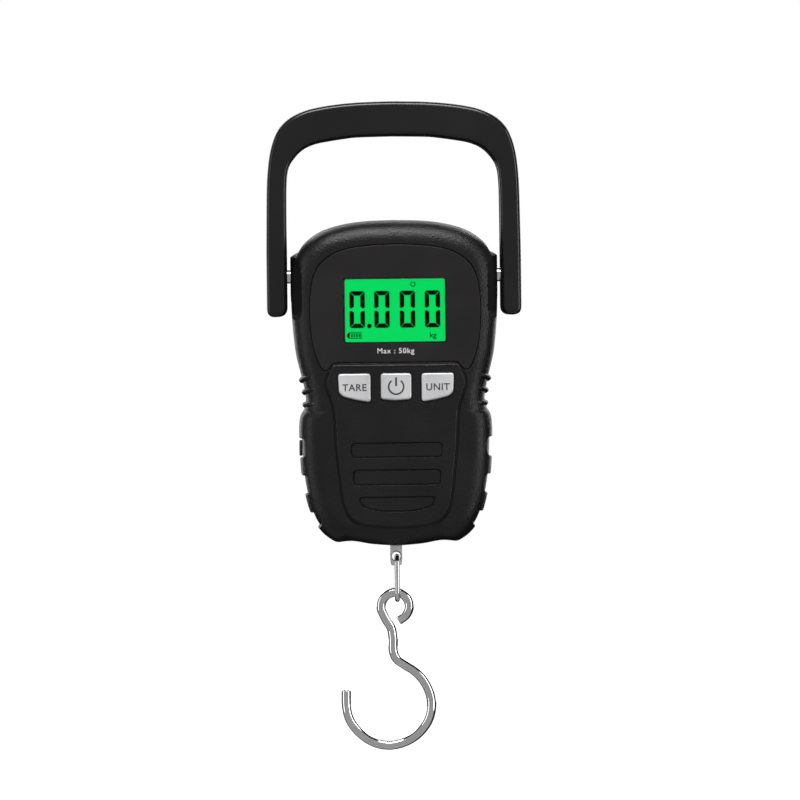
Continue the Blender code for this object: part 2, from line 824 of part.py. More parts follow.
for number, (x, z) in enumerate(BOARD_SCREWS, 1):
    head = -BOARD_BACK + GAP
    profile = [(-10.6, 0.5), (-10.0, 0.8), (head, 0.8), (head, 1.7), (head + 0.7, 1.6), (head + 1.0, 1.2)]
    turned(f"board_screw_{number}", "Y", (x, z), profile, STEEL, sides=12)

profile = [(-5.0, 3.4), (-4.4, 3.1), (-4.0, 1.8)]
turned("controller", "Y", (16.0, -40.0), profile, (0.015, 0.015, 0.015), 0.5, 0.0)

bm = bmesh.new()
add_box(bm, (12.0, 18.0), (-BOARD_BACK + GAP, -3.6), (-31.0, -28.8))
part("crystal", bm, SILVER, 0.3, 1.0)

# ================================================================ buttons and their switches
for key, (line, x) in BUTTONS.items():
    bm = bmesh.new()
    add_plate(bm, line, (-BUTTON_FRONT, -(FLANGE_FRONT - 0.5)), edge=0.4)
    button = part(f"button_{key}", bm, SILVER, 0.35, 0.3, origin=(x, -BUTTON_FRONT, BUTTON_Z))
    bm = bmesh.new()
    add_plate(bm, shrink(line, -0.9, x, BUTTON_Z), (-FLANGE_FRONT, -FLANGE_BACK))
    combine(button, cutter(f"flange_{key}", bm), "UNION")

    bm = bmesh.new()
    add_box(bm, (x - 3.0, x + 3.0), (-SWITCH_FRONT, -SWITCH_BACK), (BUTTON_Z - 3.0, BUTTON_Z + 3.0))
    switch = part(f"switch_{key}", bm, (0.03, 0.03, 0.035), 0.45)
    bm = bmesh.new()
    add_rod(bm, "Y", (x, BUTTON_Z), 1.95, (-SWITCH_FRONT - 1, -SWITCH_BACK - 0.7), 14)
    combine(switch, cutter(f"switch_bore_{key}", bm), "DIFFERENCE")

    bm = bmesh.new()
    add_rod(bm, "Y", (x, BUTTON_Z), 1.6, (-FLANGE_BACK + GAP, -SWITCH_BACK - 1.5), 14)
    part(f"plunger_{key}", bm, (0.6, 0.57, 0.5), 0.5, origin=(x, -FLANGE_BACK, BUTTON_Z))

# ================================================================ rod, hanger, load cell
soft = ROD_RADIUS - 0.4
profile = [(-ROD_END, soft), (-ROD_END + 0.4, ROD_RADIUS), (ROD_END - 0.4, ROD_RADIUS), (ROD_END, soft)]
turned("cross_rod", "X", (0, 0), profile, STEEL, 0.2, sides=24)

bm = bmesh.new()
add_box(bm, (-9.0, 9.0), (-1.0, 1.0), (CELL_TOP - 6.5, -5.4))
hanger = part("load_hanger", bm, STEEL, 0.4, 1.0)
bm = bmesh.new()
for side in (-1, 1):
    add_rod(bm, "X", (0, 0), ROD_BORE + 1.1, both_ways((7.4, 8.9), side), 24)
combine(hanger, cutter("cheek_rounds", bm), "UNION")
bm = bmesh.new()
for side in (-1, 1):
    add_box(bm, both_ways((7.45, 8.85), side), (-3.6, 0.95), (-6.4, -2.0))
combine(hanger, cutter("cheek_plates", bm), "UNION")
bm = bmesh.new()
add_rod(bm, "X", (0, 0), ROD_BORE, (-10.0, 10.0), 24)
add_rod(bm, "Y", (0, PIN_TOP), PIN_RADIUS + GAP, (-3.0, 3.0), 14)
add_plate(bm, rounded(-5.0, 5.0, -44.0, -14.0, 2.0), (-3.0, 3.0))
combine(hanger, cutter("hanger_openings", bm), "DIFFERENCE")

bm = bmesh.new()
add_plate(bm, rounded(-10.0, 10.0, CELL_LOW, CELL_TOP, 1.0, 2), (-CELL_Y_HALF, CELL_Y_HALF))
load_cell = part("load_cell", bm, (0.7, 0.71, 0.73), 0.35, 1.0)
bm = bmesh.new()
add_box(bm, (-11.0, 11.0), (-1.3, 1.3), (CELL_TOP - 7.0, CELL_TOP + 2))
add_box(bm, (-11.0, 11.0), (-1.3, 1.3), (CELL_LOW - 2, CELL_LOW + 7.0))
add_box(bm, (-12.0, 3.5), (-4.0, 4.0), (CELL_MID + 5.4, CELL_MID + 7.0))
add_box(bm, (-3.5, 12.0), (-4.0, 4.0), (CELL_MID - 7.0, CELL_MID - 5.4))
add_rod(bm, "Y", (0, CELL_MID), 4.2, (-4.0, 4.0), 20)
combine(load_cell, cutter("cell_slots", bm), "DIFFERENCE")
bm = bmesh.new()
for z in (PIN_TOP, PIN_LOW):
    add_rod(bm, "Y", (0, z), PIN_RADIUS + GAP, (-4.0, 4.0), 14)
combine(load_cell, cutter("cell_pin_holes", bm), "DIFFERENCE")
for name, z in (("hanger_pin", PIN_TOP), ("bracket_pin", PIN_LOW)):
    bm = bmesh.new()
    add_rod(bm, "Y", (0, z), PIN_RADIUS, (-CELL_Y_HALF, CELL_Y_HALF), 14)
    part(name, bm, STEEL, 0.3, 1.0)
for name, side in (("strain_gauge_left", -1), ("strain_gauge_right", 1)):
    bm = bmesh.new()
    add_box(bm, both_ways((10.3, 10.7), side), (-2.2, 2.2), (CELL_MID - 3.0, CELL_MID + 3.0))
    part(name, bm, (0.65, 0.3, 0.06), 0.4)
route = [
    (-11.9, 0.0, CELL_MID + 2.4),
    (-13.0, -0.4, CELL_MID + 7.0),
    (-13.6, -2.2, CELL_MID + 14.0),
    (-14.0, -4.2, CELL_MID + 21.5),
    (-14.4, -4.5, CELL_MID + 28.0),
]
tube("gauge_cable", flow(route, 2), 0.5, (0.5, 0.5, 0.5), sides=1, roughness=0.5, metallic=0.0)

# ================================================================ batteries and contacts
half_cell = CELL_LENGTH / 2
for number, z in enumerate(CELL_Z, 1):
    way = 1 if number == 1 else -1
    profile = [
        (-half_cell, CELL_RADIUS - 0.5),
        (-half_cell + 0.5, CELL_RADIUS),
        (half_cell - 1.5, CELL_RADIUS),
        (half_cell - 1.0, CELL_RADIUS - 0.5),
        (half_cell - 1.0, 1.9),
        (half_cell, 1.8),
    ]
    profile = [(way * along, radius) for along, radius in profile]
    turned(f"battery_{number}", "X", (CELL_Y, z), profile, (0.05, 0.14, 0.32), 0.35, 0.4, sides=24)
    coil = []
    for i in range(29):
        turn = math.tau * i / 10
        share = i / 28
        radius = 1.5 + 1.6 * share
        x = -way * (half_cell + 0.6 + 2.0 * share)
        coil.append((x, CELL_Y + radius * math.cos(turn), z + radius * math.sin(turn)))
    tube(f"battery_spring_{number}", coil, 0.25, STEEL, sides=0, roughness=0.3)
for name, side in (("contact_left", -1), ("contact_right", 1)):
    bm = bmesh.new()
    add_box(bm, both_ways((BAY_X - 0.6, BAY_X - 0.3), side), (BAY_FLOOR + 0.4, 12.4), (-29.0, -7.0))
    plate = part(name, bm, BRASS, 0.3, 1.0)
    bm = bmesh.new()
    add_box(bm, both_ways((BAY_X - 0.58, BAY_X - 0.32), side), (0.2, BAY_FLOOR + 1.5), (-20.0, -16.0))
    combine(plate, cutter(f"{name}_tail", bm), "UNION")
for name, side, colour in (("lead_red", 1, (0.5, 0.02, 0.02)), ("lead_black", -1, (0.02, 0.02, 0.02))):
    route = [(25.9, -0.7, -18.0), (25.4, -2.2, -18.6), (23.8, -3.8, -20.0), (22.0, -4.5, -23.0)]
    route = [(side * x, y, z) for x, y, z in route]
    tube(name, flow(route, 2), 0.5, colour, sides=1, roughness=0.5, metallic=0.0)

# ================================================================ battery door
bm = bmesh.new()
section = [(FACE_Y, BAY_LOW + GAP)]
for i in range(7):
    turn = math.radians(30 * i)
    section.append((DOOR_AXIS[0] + KNUCKLE * math.cos(turn), DOOR_AXIS[1] + KNUCKLE * math.sin(turn)))
section += [(DOOR_AXIS[0] - KNUCKLE, DOOR_AXIS[1] - 0.5), (DOOR_IN, DOOR_AXIS[1] - 1.3)]
section.append((DOOR_IN, BAY_LOW + GAP))
add_plate(bm, section, (-DOOR_X, DOOR_X), axis="X")
door = part("battery_door", bm, BLACK, 0.55, origin=(0, *DOOR_AXIS))
bm = bmesh.new()
add_plate(bm, rounded(-6.7, 6.7, BAY_LOW - 3.0, BAY_LOW + 2.0, 1.5), (DOOR_IN + 0.2, FACE_Y - 0.1), edge=0.2)
for side in (-1, 1):
    add_rod(bm, "X", DOOR_AXIS, DOOR_PIN, both_ways((DOOR_X - 1.5, DOOR_X + 1.1), side), 12)
combine(door, cutter("door_tab_and_pins", bm), "UNION")
bm = bmesh.new()
for i in range(4):
    z = BAY_LOW + 3.6 + 1.7 * i
    add_box(bm, (-6.0 + i * 1.1, 6.0 - i * 1.1), (FACE_Y - 0.4, FACE_Y + 1), (z - 0.4, z + 0.4))
combine(door, cutter("door_grip", bm), "DIFFERENCE")

# ================================================================ tape
tape = (TAPE_X, TAPE_Z)
tape_origin = (TAPE_X, TAPE_FAR, TAPE_Z)
bm = bmesh.new()
add_rod(bm, "Y", tape, 6.8, (TAPE_NEAR - 0.6, TAPE_FAR + 0.3), 28)
tape_drum = part("tape_drum", bm, (0.8, 0.8, 0.78), 0.5, origin=tape_origin)
bm = bmesh.new()
add_rod(bm, "Y", tape, 6.2, (TAPE_NEAR + 0.5, TAPE_FAR + 2), 24)
combine(tape_drum, cutter("drum_bore", bm), "DIFFERENCE")
bm = bmesh.new()
add_rod(bm, "Y", tape, 1.5, (TAPE_NEAR - 2, TAPE_NEAR + 2), 14)
combine(tape_drum, cutter("drum_hole", bm), "DIFFERENCE")
bm = bmesh.new()
add_rod(bm, "Y", tape, TAPE_RADIUS, (TAPE_NEAR + 0.1, TAPE_FAR), 32)
tape_coil = part("tape_coil", bm, (0.85, 0.8, 0.55), 0.4, origin=tape_origin)
bm = bmesh.new()
add_rod(bm, "Y", tape, 7.1, (TAPE_NEAR - 1, TAPE_FAR + 1), 28)
combine(tape_coil, cutter("coil_bore", bm), "DIFFERENCE")

outer, inner = [], []
for i in range(37):
    turn = math.tau * i / 14
    radius = 2.9 + 2.8 * i / 36
    for reach, line in ((radius, inner), (radius + 0.2, outer)):
        line.append((TAPE_X + reach * math.cos(turn), TAPE_Z + reach * math.sin(turn)))
bm = bmesh.new()
add_plate(bm, outer + inner[::-1], (TAPE_NEAR + 0.9, TAPE_FAR))
part("tape_spring", bm, STEEL, 0.3, 1.0)
turned("tape_axle", "Y", tape, [(9.6, 0.5), (9.0, 0.8), (TAPE_NEAR - 0.7, 0.8)], STEEL, sides=12)

blade_end = -side_at(BLADE_Z) + POCKET_DEEP + 0.15
blade_origin = (blade_end, (TAPE_NEAR + TAPE_FAR) / 2, BLADE_Z)
bm = bmesh.new()
add_box(bm, (blade_end, TAPE_X - 1.0), (TAPE_NEAR + 0.2, TAPE_FAR - 0.2), (BLADE_Z - 0.1, BLADE_Z + 0.2))
part("tape_blade", bm, (0.85, 0.8, 0.55), 0.4, origin=blade_origin)
bm = bmesh.new()
tab = [(along, TAB_Z + up) for along, up in stadium(5.1, 4.4, 2.9)]
tab_x = -side_at(TAB_Z)
add_plate(bm, tab, (tab_x - 0.1, tab_x + POCKET_DEEP - GAP), axis="X", edge=0.2)
part("tape_tab", bm, (0.1, 0.1, 0.1), 0.5, origin=blade_origin)

# ================================================================ shell screws
for number, spot in enumerate(SHELL_SCREWS, 1):
    seat = HEAD_SEAT + GAP
    profile = [(-8.2, 0.6), (-7.4, SCREW_SHANK), (seat, SCREW_SHANK)]
    profile += [(seat, 2.1), (seat + 1.2, 2.1), (seat + 1.7, 1.6)]
    turned(f"shell_screw_{number}", "Y", spot, profile, STEEL)

# ================================================================ bracket, link, hook
bm = bmesh.new()
neck = BOTTOM + 6.0
plate_half = [
    (0, CELL_LOW + 6.4),
    (3.6, CELL_LOW + 6.4),
    (3.6, neck + 1.2),
    (BRACKET_X, neck),
    (BRACKET_X, BRACKET_LOW + 1.1),
    (BRACKET_X - 0.3, BRACKET_LOW + 0.4),
    (BRACKET_X - 0.9, BRACKET_LOW),
    (0, BRACKET_LOW),
]
add_plate(bm, mirrored(plate_half), (-BRACKET_Y, BRACKET_Y), edge=0.15)
bracket = part("hook_bracket", bm, STEEL, 0.25, 1.0)
bm = bmesh.new()
add_rod(bm, "Y", (0, PIN_LOW), PIN_RADIUS + GAP, (-3.0, 3.0), 14)
add_rod(bm, "Y", (0, BRACKET_HOLE), LINK_WIRE + 0.6, (-3.0, 3.0), 20)
combine(bracket, cutter("bracket_holes", bm), "DIFFERENCE")

ring = []
for start, middle in ((0, LINK_TOP), (math.pi, LINK_LOW)):
    for i in range(11):
        turn = start + math.pi * i / 10
        ring.append((0, LINK_RADIUS * math.cos(turn), middle + LINK_RADIUS * math.sin(turn)))
settle(tube("hook_link", ring, LINK_WIRE, STEEL, closed=True, sides=3), (0, 0, LINK_TOP))

# the shank and bend, measured from the middle of the eye
BEND_KEYS = [
    (-0.9, -12.0),
    (-0.8, -17.7),
    (0.6, -20.6),
    (4.8, -23.3),
    (9.6, -27.0),
    (12.7, -32.4),
    (13.5, -37.6),
    (11.9, -43.3),
    (7.6, -48.1),
    (2.6, -50.9),
    (-2.4, -51.8),
    (-7.8, -50.3),
    (-12.7, -47.1),
    (-16.3, -42.7),
    (-17.9, -37.8),
    (-18.1, -31.9),
]
eye = [(1.7, 0, EYE_Z - 5.0)]
for i in range(17):
    turn = math.radians(-62 + 260 * i / 16)
    eye.append((EYE_RADIUS * math.cos(turn), 0, EYE_Z + EYE_RADIUS * math.sin(turn)))
eye += [(-3.9, 0, EYE_Z - 4.6), (-1.9, 0, EYE_Z - 7.8)]
bend = [(x, 0, EYE_Z + z) for x, z in flow(BEND_KEYS, 2)]
settle(tube("hook", eye + bend, HOOK_WIRE, STEEL, sides=3), (0, 0, LINK_FOOT))

# ================================================================ handle
# heights measured from the bar's underside
OUTER_KEYS = [
    (0, 12.1),
    (12.0, 11.8),
    (20.9, 11.0),
    (28.0, 9.8),
    (33.4, 8.2),
    (38.3, 5.6),
    (41.7, 2.3),
    (43.9, -2.0),
    (45.4, -7.4),
    (46.2, -13.5),
    (46.6, -20.0),
    (46.8, -30.0),
]
INNER_KEYS = [
    (39.2, -18.0),
    (38.3, -12.3),
    (36.2, -8.7),
    (33.0, -5.6),
    (28.6, -3.3),
    (23.0, -1.8),
    (17.5, -0.7),
    (12.5, 0.0),
]
outer = [(x * ARM_OUT / 47.0, HANDLE_RISE + z) for x, z in flow(OUTER_KEYS, 2)]
inner = [(x * ARM_IN / 39.4, HANDLE_RISE + z) for x, z in flow(INNER_KEYS, 2)]
foot = [
    (ARM_OUT, -2.0),
    (ARM_OUT, -11.2),
    (ARM_OUT - 0.4, -13.2),
    (ARM_OUT - 1.5, -14.6),
    (ARM_OUT - 3.2, -15.1),
    (ARM_IN + 2.9, -14.9),
    (ARM_IN + 1.3, -13.9),
    (ARM_IN + 0.3, -12.2),
    (ARM_IN, -10.0),
]
bm = bmesh.new()
add_plate(bm, mirrored(outer + foot + inner), (-HANDLE_DEPTH / 2, HANDLE_DEPTH / 2), edge=1.3)
handle = part("handle", bm, BLACK, 0.45, origin=(0, 0, 0), smooth=True)
bm = bmesh.new()
for side in (-1, 1):
    add_rod(bm, "X", (0, 0), ROD_BORE, both_ways((ARM_IN - 2, ROD_END + GAP), side), 24)
combine(handle, cutter("handle_bores", bm), "DIFFERENCE")
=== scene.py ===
"""Studio scene of the digital fish scale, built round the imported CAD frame.

Places are written in millimetres from the handle's pivot, as in the CAD, and turned into metres by at().
The front faces -Y and +Z is up.
"""

import json
import math

import bmesh
import bpy
from mathutils import Matrix, Vector


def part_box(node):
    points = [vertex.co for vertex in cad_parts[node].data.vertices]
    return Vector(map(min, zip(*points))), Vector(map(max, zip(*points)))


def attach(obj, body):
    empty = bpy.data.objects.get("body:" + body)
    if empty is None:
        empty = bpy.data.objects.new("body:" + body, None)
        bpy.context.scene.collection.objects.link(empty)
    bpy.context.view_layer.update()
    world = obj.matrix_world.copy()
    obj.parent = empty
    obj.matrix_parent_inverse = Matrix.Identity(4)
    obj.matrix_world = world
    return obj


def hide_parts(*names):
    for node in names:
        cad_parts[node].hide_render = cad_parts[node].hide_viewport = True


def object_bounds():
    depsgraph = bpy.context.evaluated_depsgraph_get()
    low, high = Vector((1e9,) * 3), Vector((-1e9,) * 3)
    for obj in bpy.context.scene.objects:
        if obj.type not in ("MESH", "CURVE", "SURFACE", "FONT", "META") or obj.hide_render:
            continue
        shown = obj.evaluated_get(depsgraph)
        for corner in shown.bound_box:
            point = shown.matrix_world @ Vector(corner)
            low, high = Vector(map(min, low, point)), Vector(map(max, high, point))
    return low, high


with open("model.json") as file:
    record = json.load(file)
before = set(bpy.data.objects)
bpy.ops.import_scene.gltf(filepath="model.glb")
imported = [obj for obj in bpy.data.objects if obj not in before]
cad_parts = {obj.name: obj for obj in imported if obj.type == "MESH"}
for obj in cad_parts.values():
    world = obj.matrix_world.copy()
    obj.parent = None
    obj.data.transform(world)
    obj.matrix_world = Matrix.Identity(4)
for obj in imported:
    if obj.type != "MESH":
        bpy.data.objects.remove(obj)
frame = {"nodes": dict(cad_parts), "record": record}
cad_low, cad_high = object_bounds()

MM = 0.001


def middle(node):
    low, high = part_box(node)
    return (Vector(low) + Vector(high)) / 2


def box_mm(node):
    """A node's box in millimetres from the pivot, as (low, high)."""
    low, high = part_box(node)
    return (Vector(low) - PIVOT) / MM, (Vector(high) - PIVOT) / MM


PIVOT = middle("cross_rod")


def at(x, y, z):
    return (PIVOT.x + x * MM, PIVOT.y + y * MM, PIVOT.z + z * MM)


# ================================================================ levels taken from the CAD
FACE_Y = -box_mm("display_panel")[0].y
PAD_Y = -box_mm("front_shell")[0].y
BUTTON_FRONT = -box_mm("button_power")[0].y
FLANGE_BACK = -box_mm("button_power")[1].y
LCD_FRONT = -box_mm("lcd_glass")[0].y
EAR_X = box_mm("front_shell")[1].x
ROD_END = box_mm("cross_rod")[1].x
ROD_RADIUS = box_mm("cross_rod")[1].z
HANDLE_HIGH = box_mm("handle")[1]
LINK_LOW, LINK_HIGH = box_mm("hook_link")
LINK_WIRE = LINK_HIGH.x
LINK_RADIUS = LINK_HIGH.y - LINK_WIRE
BRACKET_LOW, BRACKET_HIGH = box_mm("hook_bracket")
HOOK_HIGH = box_mm("hook")[1]

# ================================================================ the body's own sizes
EDGE_X, EDGE_Y = 8.0, 8.5
SIDE_Y = FACE_Y - EDGE_Y
WALL = 2.0
INNER_FRONT = FACE_Y - 3.1
INNER_REAR = FACE_Y - WALL
SPLIT = 0.15
GAP = 0.3
PANEL_THICK = 1.2


# ================================================================ outlines
SIDE_KEYS = [
    (0, 20.3), (10, 20.0), (18.1, 19.0), (25.9, 16.8), (31.4, 13.5), (34.9, 9.4), (37.0, 3.5),
    (37.9, -4.0), (37.9, -12.0), (37.3, -20.9), (36.5, -28.0), (35.4, -33.1), (33.9, -39.0),
    (32.9, -45.0), (33.4, -48.6), (34.9, -51.3), (35.5, -55.0), (35.5, -62.0), (35.1, -70.5),
    (34.2, -77.5), (32.5, -85.0), (30.1, -91.0), (26.8, -95.3), (22.4, -98.4),
]
FOOT_KEYS = [(22.4, -98.4), (16.5, -97.9), (9.0, -99.1), (0, -99.8)]
PANEL_KEYS = [
    (0, 11.1), (9.5, 10.7), (18.4, 9.4), (25.0, 6.6), (29.3, 2.2), (31.3, -4.0), (32.0, -13.0),
    (31.5, -21.5), (30.3, -28.0), (28.7, -32.4), (27.3, -34.6), (25.9, -34.9), (24.2, -33.3),
    (22.3, -32.1), (12.0, -32.1), (0, -32.1),
]
PANEL_SHARE = 0.98
PAD_KEYS = [
    (0, -32.9), (12.0, -32.9), (22.0, -32.9), (23.6, -34.0), (25.1, -37.5), (25.4, -41.0),
    (23.6, -46.5), (22.5, -51.5), (21.9, -63.5), (21.1, -71.0), (20.1, -80.0), (19.0, -85.5),
    (16.2, -90.0), (10.0, -92.2), (0, -92.9),
]
OUTER_KEYS = [
    (0, 11.75), (12.0, 11.45), (20.9, 10.7), (28.0, 9.6), (33.4, 8.1), (38.3, 5.6), (41.7, 2.3),
    (43.9, -2.0), (45.4, -7.4), (46.2, -13.5), (46.6, -20.0), (46.8, -30.0), (47.0, -44.0),
]
INNER_KEYS = [
    (39.4, -44.0), (39.4, -30.0), (39.2, -18.0), (38.3, -12.3), (36.2, -8.7), (33.0, -5.6),
    (28.6, -3.6), (23.0, -2.5), (17.5, -1.7), (12.5, -1.2), (0.0, -0.95),
]
BEND_KEYS = [
    (-0.6, -12.0), (-0.5, -16.4), (0.7, -19.4), (3.6, -21.6), (7.6, -24.2), (11.0, -28.0),
    (13.2, -32.6), (13.8, -37.4), (12.6, -42.4), (9.2, -47.0), (4.4, -50.1), (-1.4, -51.4),
    (-7.2, -50.3), (-12.2, -47.1), (-16.1, -42.3), (-17.6, -37.0), (-17.8, -30.9),
]
SPINE_TOP, SPINE_LOW = -14.0, -76.0


def flow(keys, steps):
    """A smooth curve through the key points."""
    points = []
    for i in range(len(keys) - 1):
        p0, p1, p2, p3 = keys[max(i - 1, 0)], keys[i], keys[i + 1], keys[min(i + 2, len(keys) - 1)]
        for k in range(steps):
            t = k / steps
            points.append(tuple(
                0.5 * (2 * p1[a] + (p2[a] - p0[a]) * t
                       + (2 * p0[a] - 5 * p1[a] + 4 * p2[a] - p3[a]) * t ** 2
                       + (3 * p1[a] - p0[a] - 3 * p2[a] + p3[a]) * t ** 3)
                for a in range(len(p1))
            ))
    points.append(tuple(keys[-1]))
    return points


def mirrored(half):
    """Closes a right half, listed top to bottom, with its left half."""
    return half + [(-x, z) for x, z in reversed(half) if x > 1e-6]


def rounded(x0, x1, z0, z1, radius, steps=6):
    """A rectangle with rounded corners."""
    points = []
    for cx, cz, start in (
        (x1 - radius, z1 - radius, 0), (x0 + radius, z1 - radius, 90),
        (x0 + radius, z0 + radius, 180), (x1 - radius, z0 + radius, 270),
    ):
        for i in range(steps + 1):
            turn = math.radians(start + 90 * i / steps)
            points.append((cx + radius * math.cos(turn), cz + radius * math.sin(turn)))
    return points


def circle(cx, cz, radius, sides):
    return [
        (cx + radius * math.cos(math.tau * i / sides), cz + radius * math.sin(math.tau * i / sides))
        for i in range(sides)
    ]


def soften(points, radius, steps=5):
    """Rounds each corner of a polygon."""
    made = []
    for i, p in enumerate(points):
        p = Vector(p)
        sides = []
        for q in (Vector(points[i - 1]), Vector(points[(i + 1) % len(points)])):
            reach = min(radius, (q - p).length * 0.45)
            sides.append(p + (q - p).normalized() * reach)
        for k in range(steps + 1):
            t = k / steps
            made.append(tuple(sides[0] * (1 - t) ** 2 + p * 2 * t * (1 - t) + sides[1] * t ** 2))
    return made


def grow(outline, by):
    """Moves an outline out by this distance, or in where it is negative."""
    count = len(outline)
    area = sum(
        outline[i - 1][0] * outline[i][1] - outline[i][0] * outline[i - 1][1] for i in range(count)
    )
    way = 1 if area > 0 else -1
    moved = []
    for i, (x, z) in enumerate(outline):
        before, after = outline[i - 1], outline[(i + 1) % count]
        first = Vector((x - before[0], z - before[1])).normalized()
        second = Vector((after[0] - x, after[1] - z)).normalized()
        along = (first + second).normalized()
        mitre = max(math.sqrt(max((1 + first.dot(second)) / 2, 0.0)), 0.5)
        moved.append((x + way * along.y * by / mitre, z - way * along.x * by / mitre))
    return moved


def corner_curve(start, tip, end):
    """The points between start and end of a curve that rounds the corner at tip."""
    return [
        tuple(start[a] * (1 - t) ** 2 + tip[a] * 2 * t * (1 - t) + end[a] * t ** 2 for a in (0, 1))
        for t in (0.2, 0.4, 0.6, 0.8)
    ]


half_side = flow(SIDE_KEYS, 5)
half_foot = flow(FOOT_KEYS, 7)
low_corner = corner_curve(half_side[-3], half_foot[0], half_foot[2])
OUTLINE = mirrored(half_side[:-2] + low_corner + half_foot[2:])
panel_line = mirrored([(x * PANEL_SHARE, z) for x, z in flow(PANEL_KEYS, 5)])
pad_line = mirrored(flow(PAD_KEYS, 5))


def inset(distance):
    """The body outline moved in, along spokes that meet on the body's middle line."""
    moved = []
    count = len(OUTLINE)
    for i, (x, z) in enumerate(OUTLINE):
        hub = min(max(z, SPINE_LOW), SPINE_TOP)
        length = math.hypot(x, z - hub)
        ux, uz = x / length, (z - hub) / length
        before, after = OUTLINE[i - 1], OUTLINE[(i + 1) % count]
        nx, nz = before[1] - after[1], after[0] - before[0]
        facing = max(abs(ux * nx + uz * nz) / math.hypot(nx, nz), 0.75)
        moved.append((x - ux * distance / facing, z - uz * distance / facing))
    return moved


def side_at(z):
    """Half the body's width at this height."""
    for (x0, z0), (x1, z1) in zip(half_side[15:], half_side[16:]):
        if z1 <= z <= z0:
            return x0 + (x1 - x0) * (z0 - z) / (z0 - z1)
    return half_side[-1][0]


def skin(side, z, along, lift):
    """A point on the body's side, this lift above it.

    along is the distance round from the parting plane, to the front where negative.
    """
    way = 1 if along > 0 else -1
    turn = max(abs(along) - SIDE_Y, 0) / ((EDGE_X + EDGE_Y) / 2)
    out = Vector((1.2, side_at(z - 0.6) - side_at(z + 0.6))).normalized()
    depth = EDGE_X * (1 - math.cos(turn)) - lift * math.cos(turn)
    y = min(abs(along), SIDE_Y) + (EDGE_Y + lift) * math.sin(turn)
    return at(side * (side_at(z) - depth * out.x), way * y, z - depth * out.y)


# ================================================================ mesh helpers
def mesh_from(name, bm, angle=30):
    """Turns the shape in bm into a mesh that is shaded smooth up to this angle."""
    bmesh.ops.recalc_face_normals(bm, faces=bm.faces)
    data = bpy.data.meshes.new(name)
    bm.to_mesh(data)
    bm.free()
    data.shade_smooth()
    data.set_sharp_from_angle(angle=math.radians(angle))
    return data


def drawn(draw, *sizes, **options):
    """A new shape that holds what one drawing function adds."""
    bm = bmesh.new()
    draw(bm, *sizes, **options)
    return bm


def merged(data, distance):
    """A shape from a mesh, with the points that lie within this distance made one."""
    bm = bmesh.new()
    bm.from_mesh(data)
    bmesh.ops.remove_doubles(bm, verts=bm.verts, dist=distance)
    return bm


def piece(name, data, look, body, slot, *nodes):
    """A visible piece of the scale that rides on a body and stands for these CAD nodes."""
    made = bpy.data.objects.new(name, data)
    bpy.context.scene.collection.objects.link(made)
    data.materials.clear()
    data.materials.append(look)
    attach(made, body)
    if nodes:
        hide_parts(*nodes)
    return made


def weigh(made):
    """Lets the large faces set the shading where they meet small ones."""
    even = made.modifiers.new("even", "WEIGHTED_NORMAL")
    even.keep_sharp = True
    even.weight = 80


def skirt(bm, first, second):
    """The faces between two closed rows that hold the same number of points."""
    for i in range(len(first)):
        j = (i + 1) % len(first)
        bm.faces.new((first[i], first[j], second[j], second[i]))


def loft(bm, rings):
    """A solid through rings that hold the same number of points."""
    rows = [[bm.verts.new(at(*p)) for p in ring] for ring in rings]
    for first, second in zip(rows, rows[1:]):
        skirt(bm, first, second)
    bm.faces.new(rows[0][::-1])
    bm.faces.new(rows[-1])


def levels(bm, outline, steps, axis="Y"):
    """Lofts an outline through (growth, place) steps along the axis."""
    rings = []
    for growth, place in steps:
        line = grow(outline, growth) if growth else outline
        rings.append([(u, place, v) if axis == "Y" else (place, u, v) for u, v in line])
    loft(bm, rings)


def plate(bm, outline, y_front, y_back, edge, bends=4):
    """A plate whose front rim is a quarter round of this radius."""
    way = 1 if y_back > y_front else -1
    steps = []
    for i in range(bends + 1):
        turn = math.pi / 2 * i / bends
        steps.append((-edge * (1 - math.sin(turn)), y_front + way * edge * (1 - math.cos(turn))))
    levels(bm, outline, steps + [(0, y_back)])


CUTTER_OUT, CUTTER_FILLET = 1.5, 0.15


def lipped(bm, outline, y_face, y_floor, lip):
    """A cutter that leaves a chamfered lip at the face and a small fillet at its floor."""
    way = 1 if y_floor > y_face else -1
    levels(bm, outline, [
        (lip, y_face - way * CUTTER_OUT), (lip, y_face), (0, y_face + way * lip),
        (0, y_floor - way * CUTTER_FILLET), (-CUTTER_FILLET, y_floor),
    ])


def box(bm, x, y, z):
    move = Matrix.Translation(at(sum(x) / 2, sum(y) / 2, sum(z) / 2))
    size = Matrix.Diagonal([abs(b - a) * MM for a, b in (x, y, z)] + [1.0])
    bmesh.ops.create_cube(bm, size=1.0, matrix=move @ size)


def turned(bm, axis, centre, profile, sides=40):
    """A solid turned from (place along the axis, radius) steps."""
    rings = []
    for place, radius in profile:
        line = circle(*centre, radius, sides)
        rings.append([(u, place, v) if axis == "Y" else (place, u, v) for u, v in line])
    loft(bm, rings)


def carve(data, bm, operation="DIFFERENCE"):
    """Joins the shape in bm to a mesh, or cuts it away, and gives the new mesh."""
    bmesh.ops.recalc_face_normals(bm, faces=bm.faces)
    other = bpy.data.meshes.new("tool")
    bm.to_mesh(other)
    bm.free()
    base = bpy.data.objects.new("base", data)
    tool = bpy.data.objects.new("tool", other)
    for made in (base, tool):
        bpy.context.scene.collection.objects.link(made)
    step = base.modifiers.new("carve", "BOOLEAN")
    step.operation = operation
    step.solver = "MANIFOLD"
    step.object = tool
    graph = bpy.context.evaluated_depsgraph_get()
    result = bpy.data.meshes.new_from_object(base.evaluated_get(graph))
    bpy.data.objects.remove(base)
    bpy.data.objects.remove(tool)
    return result


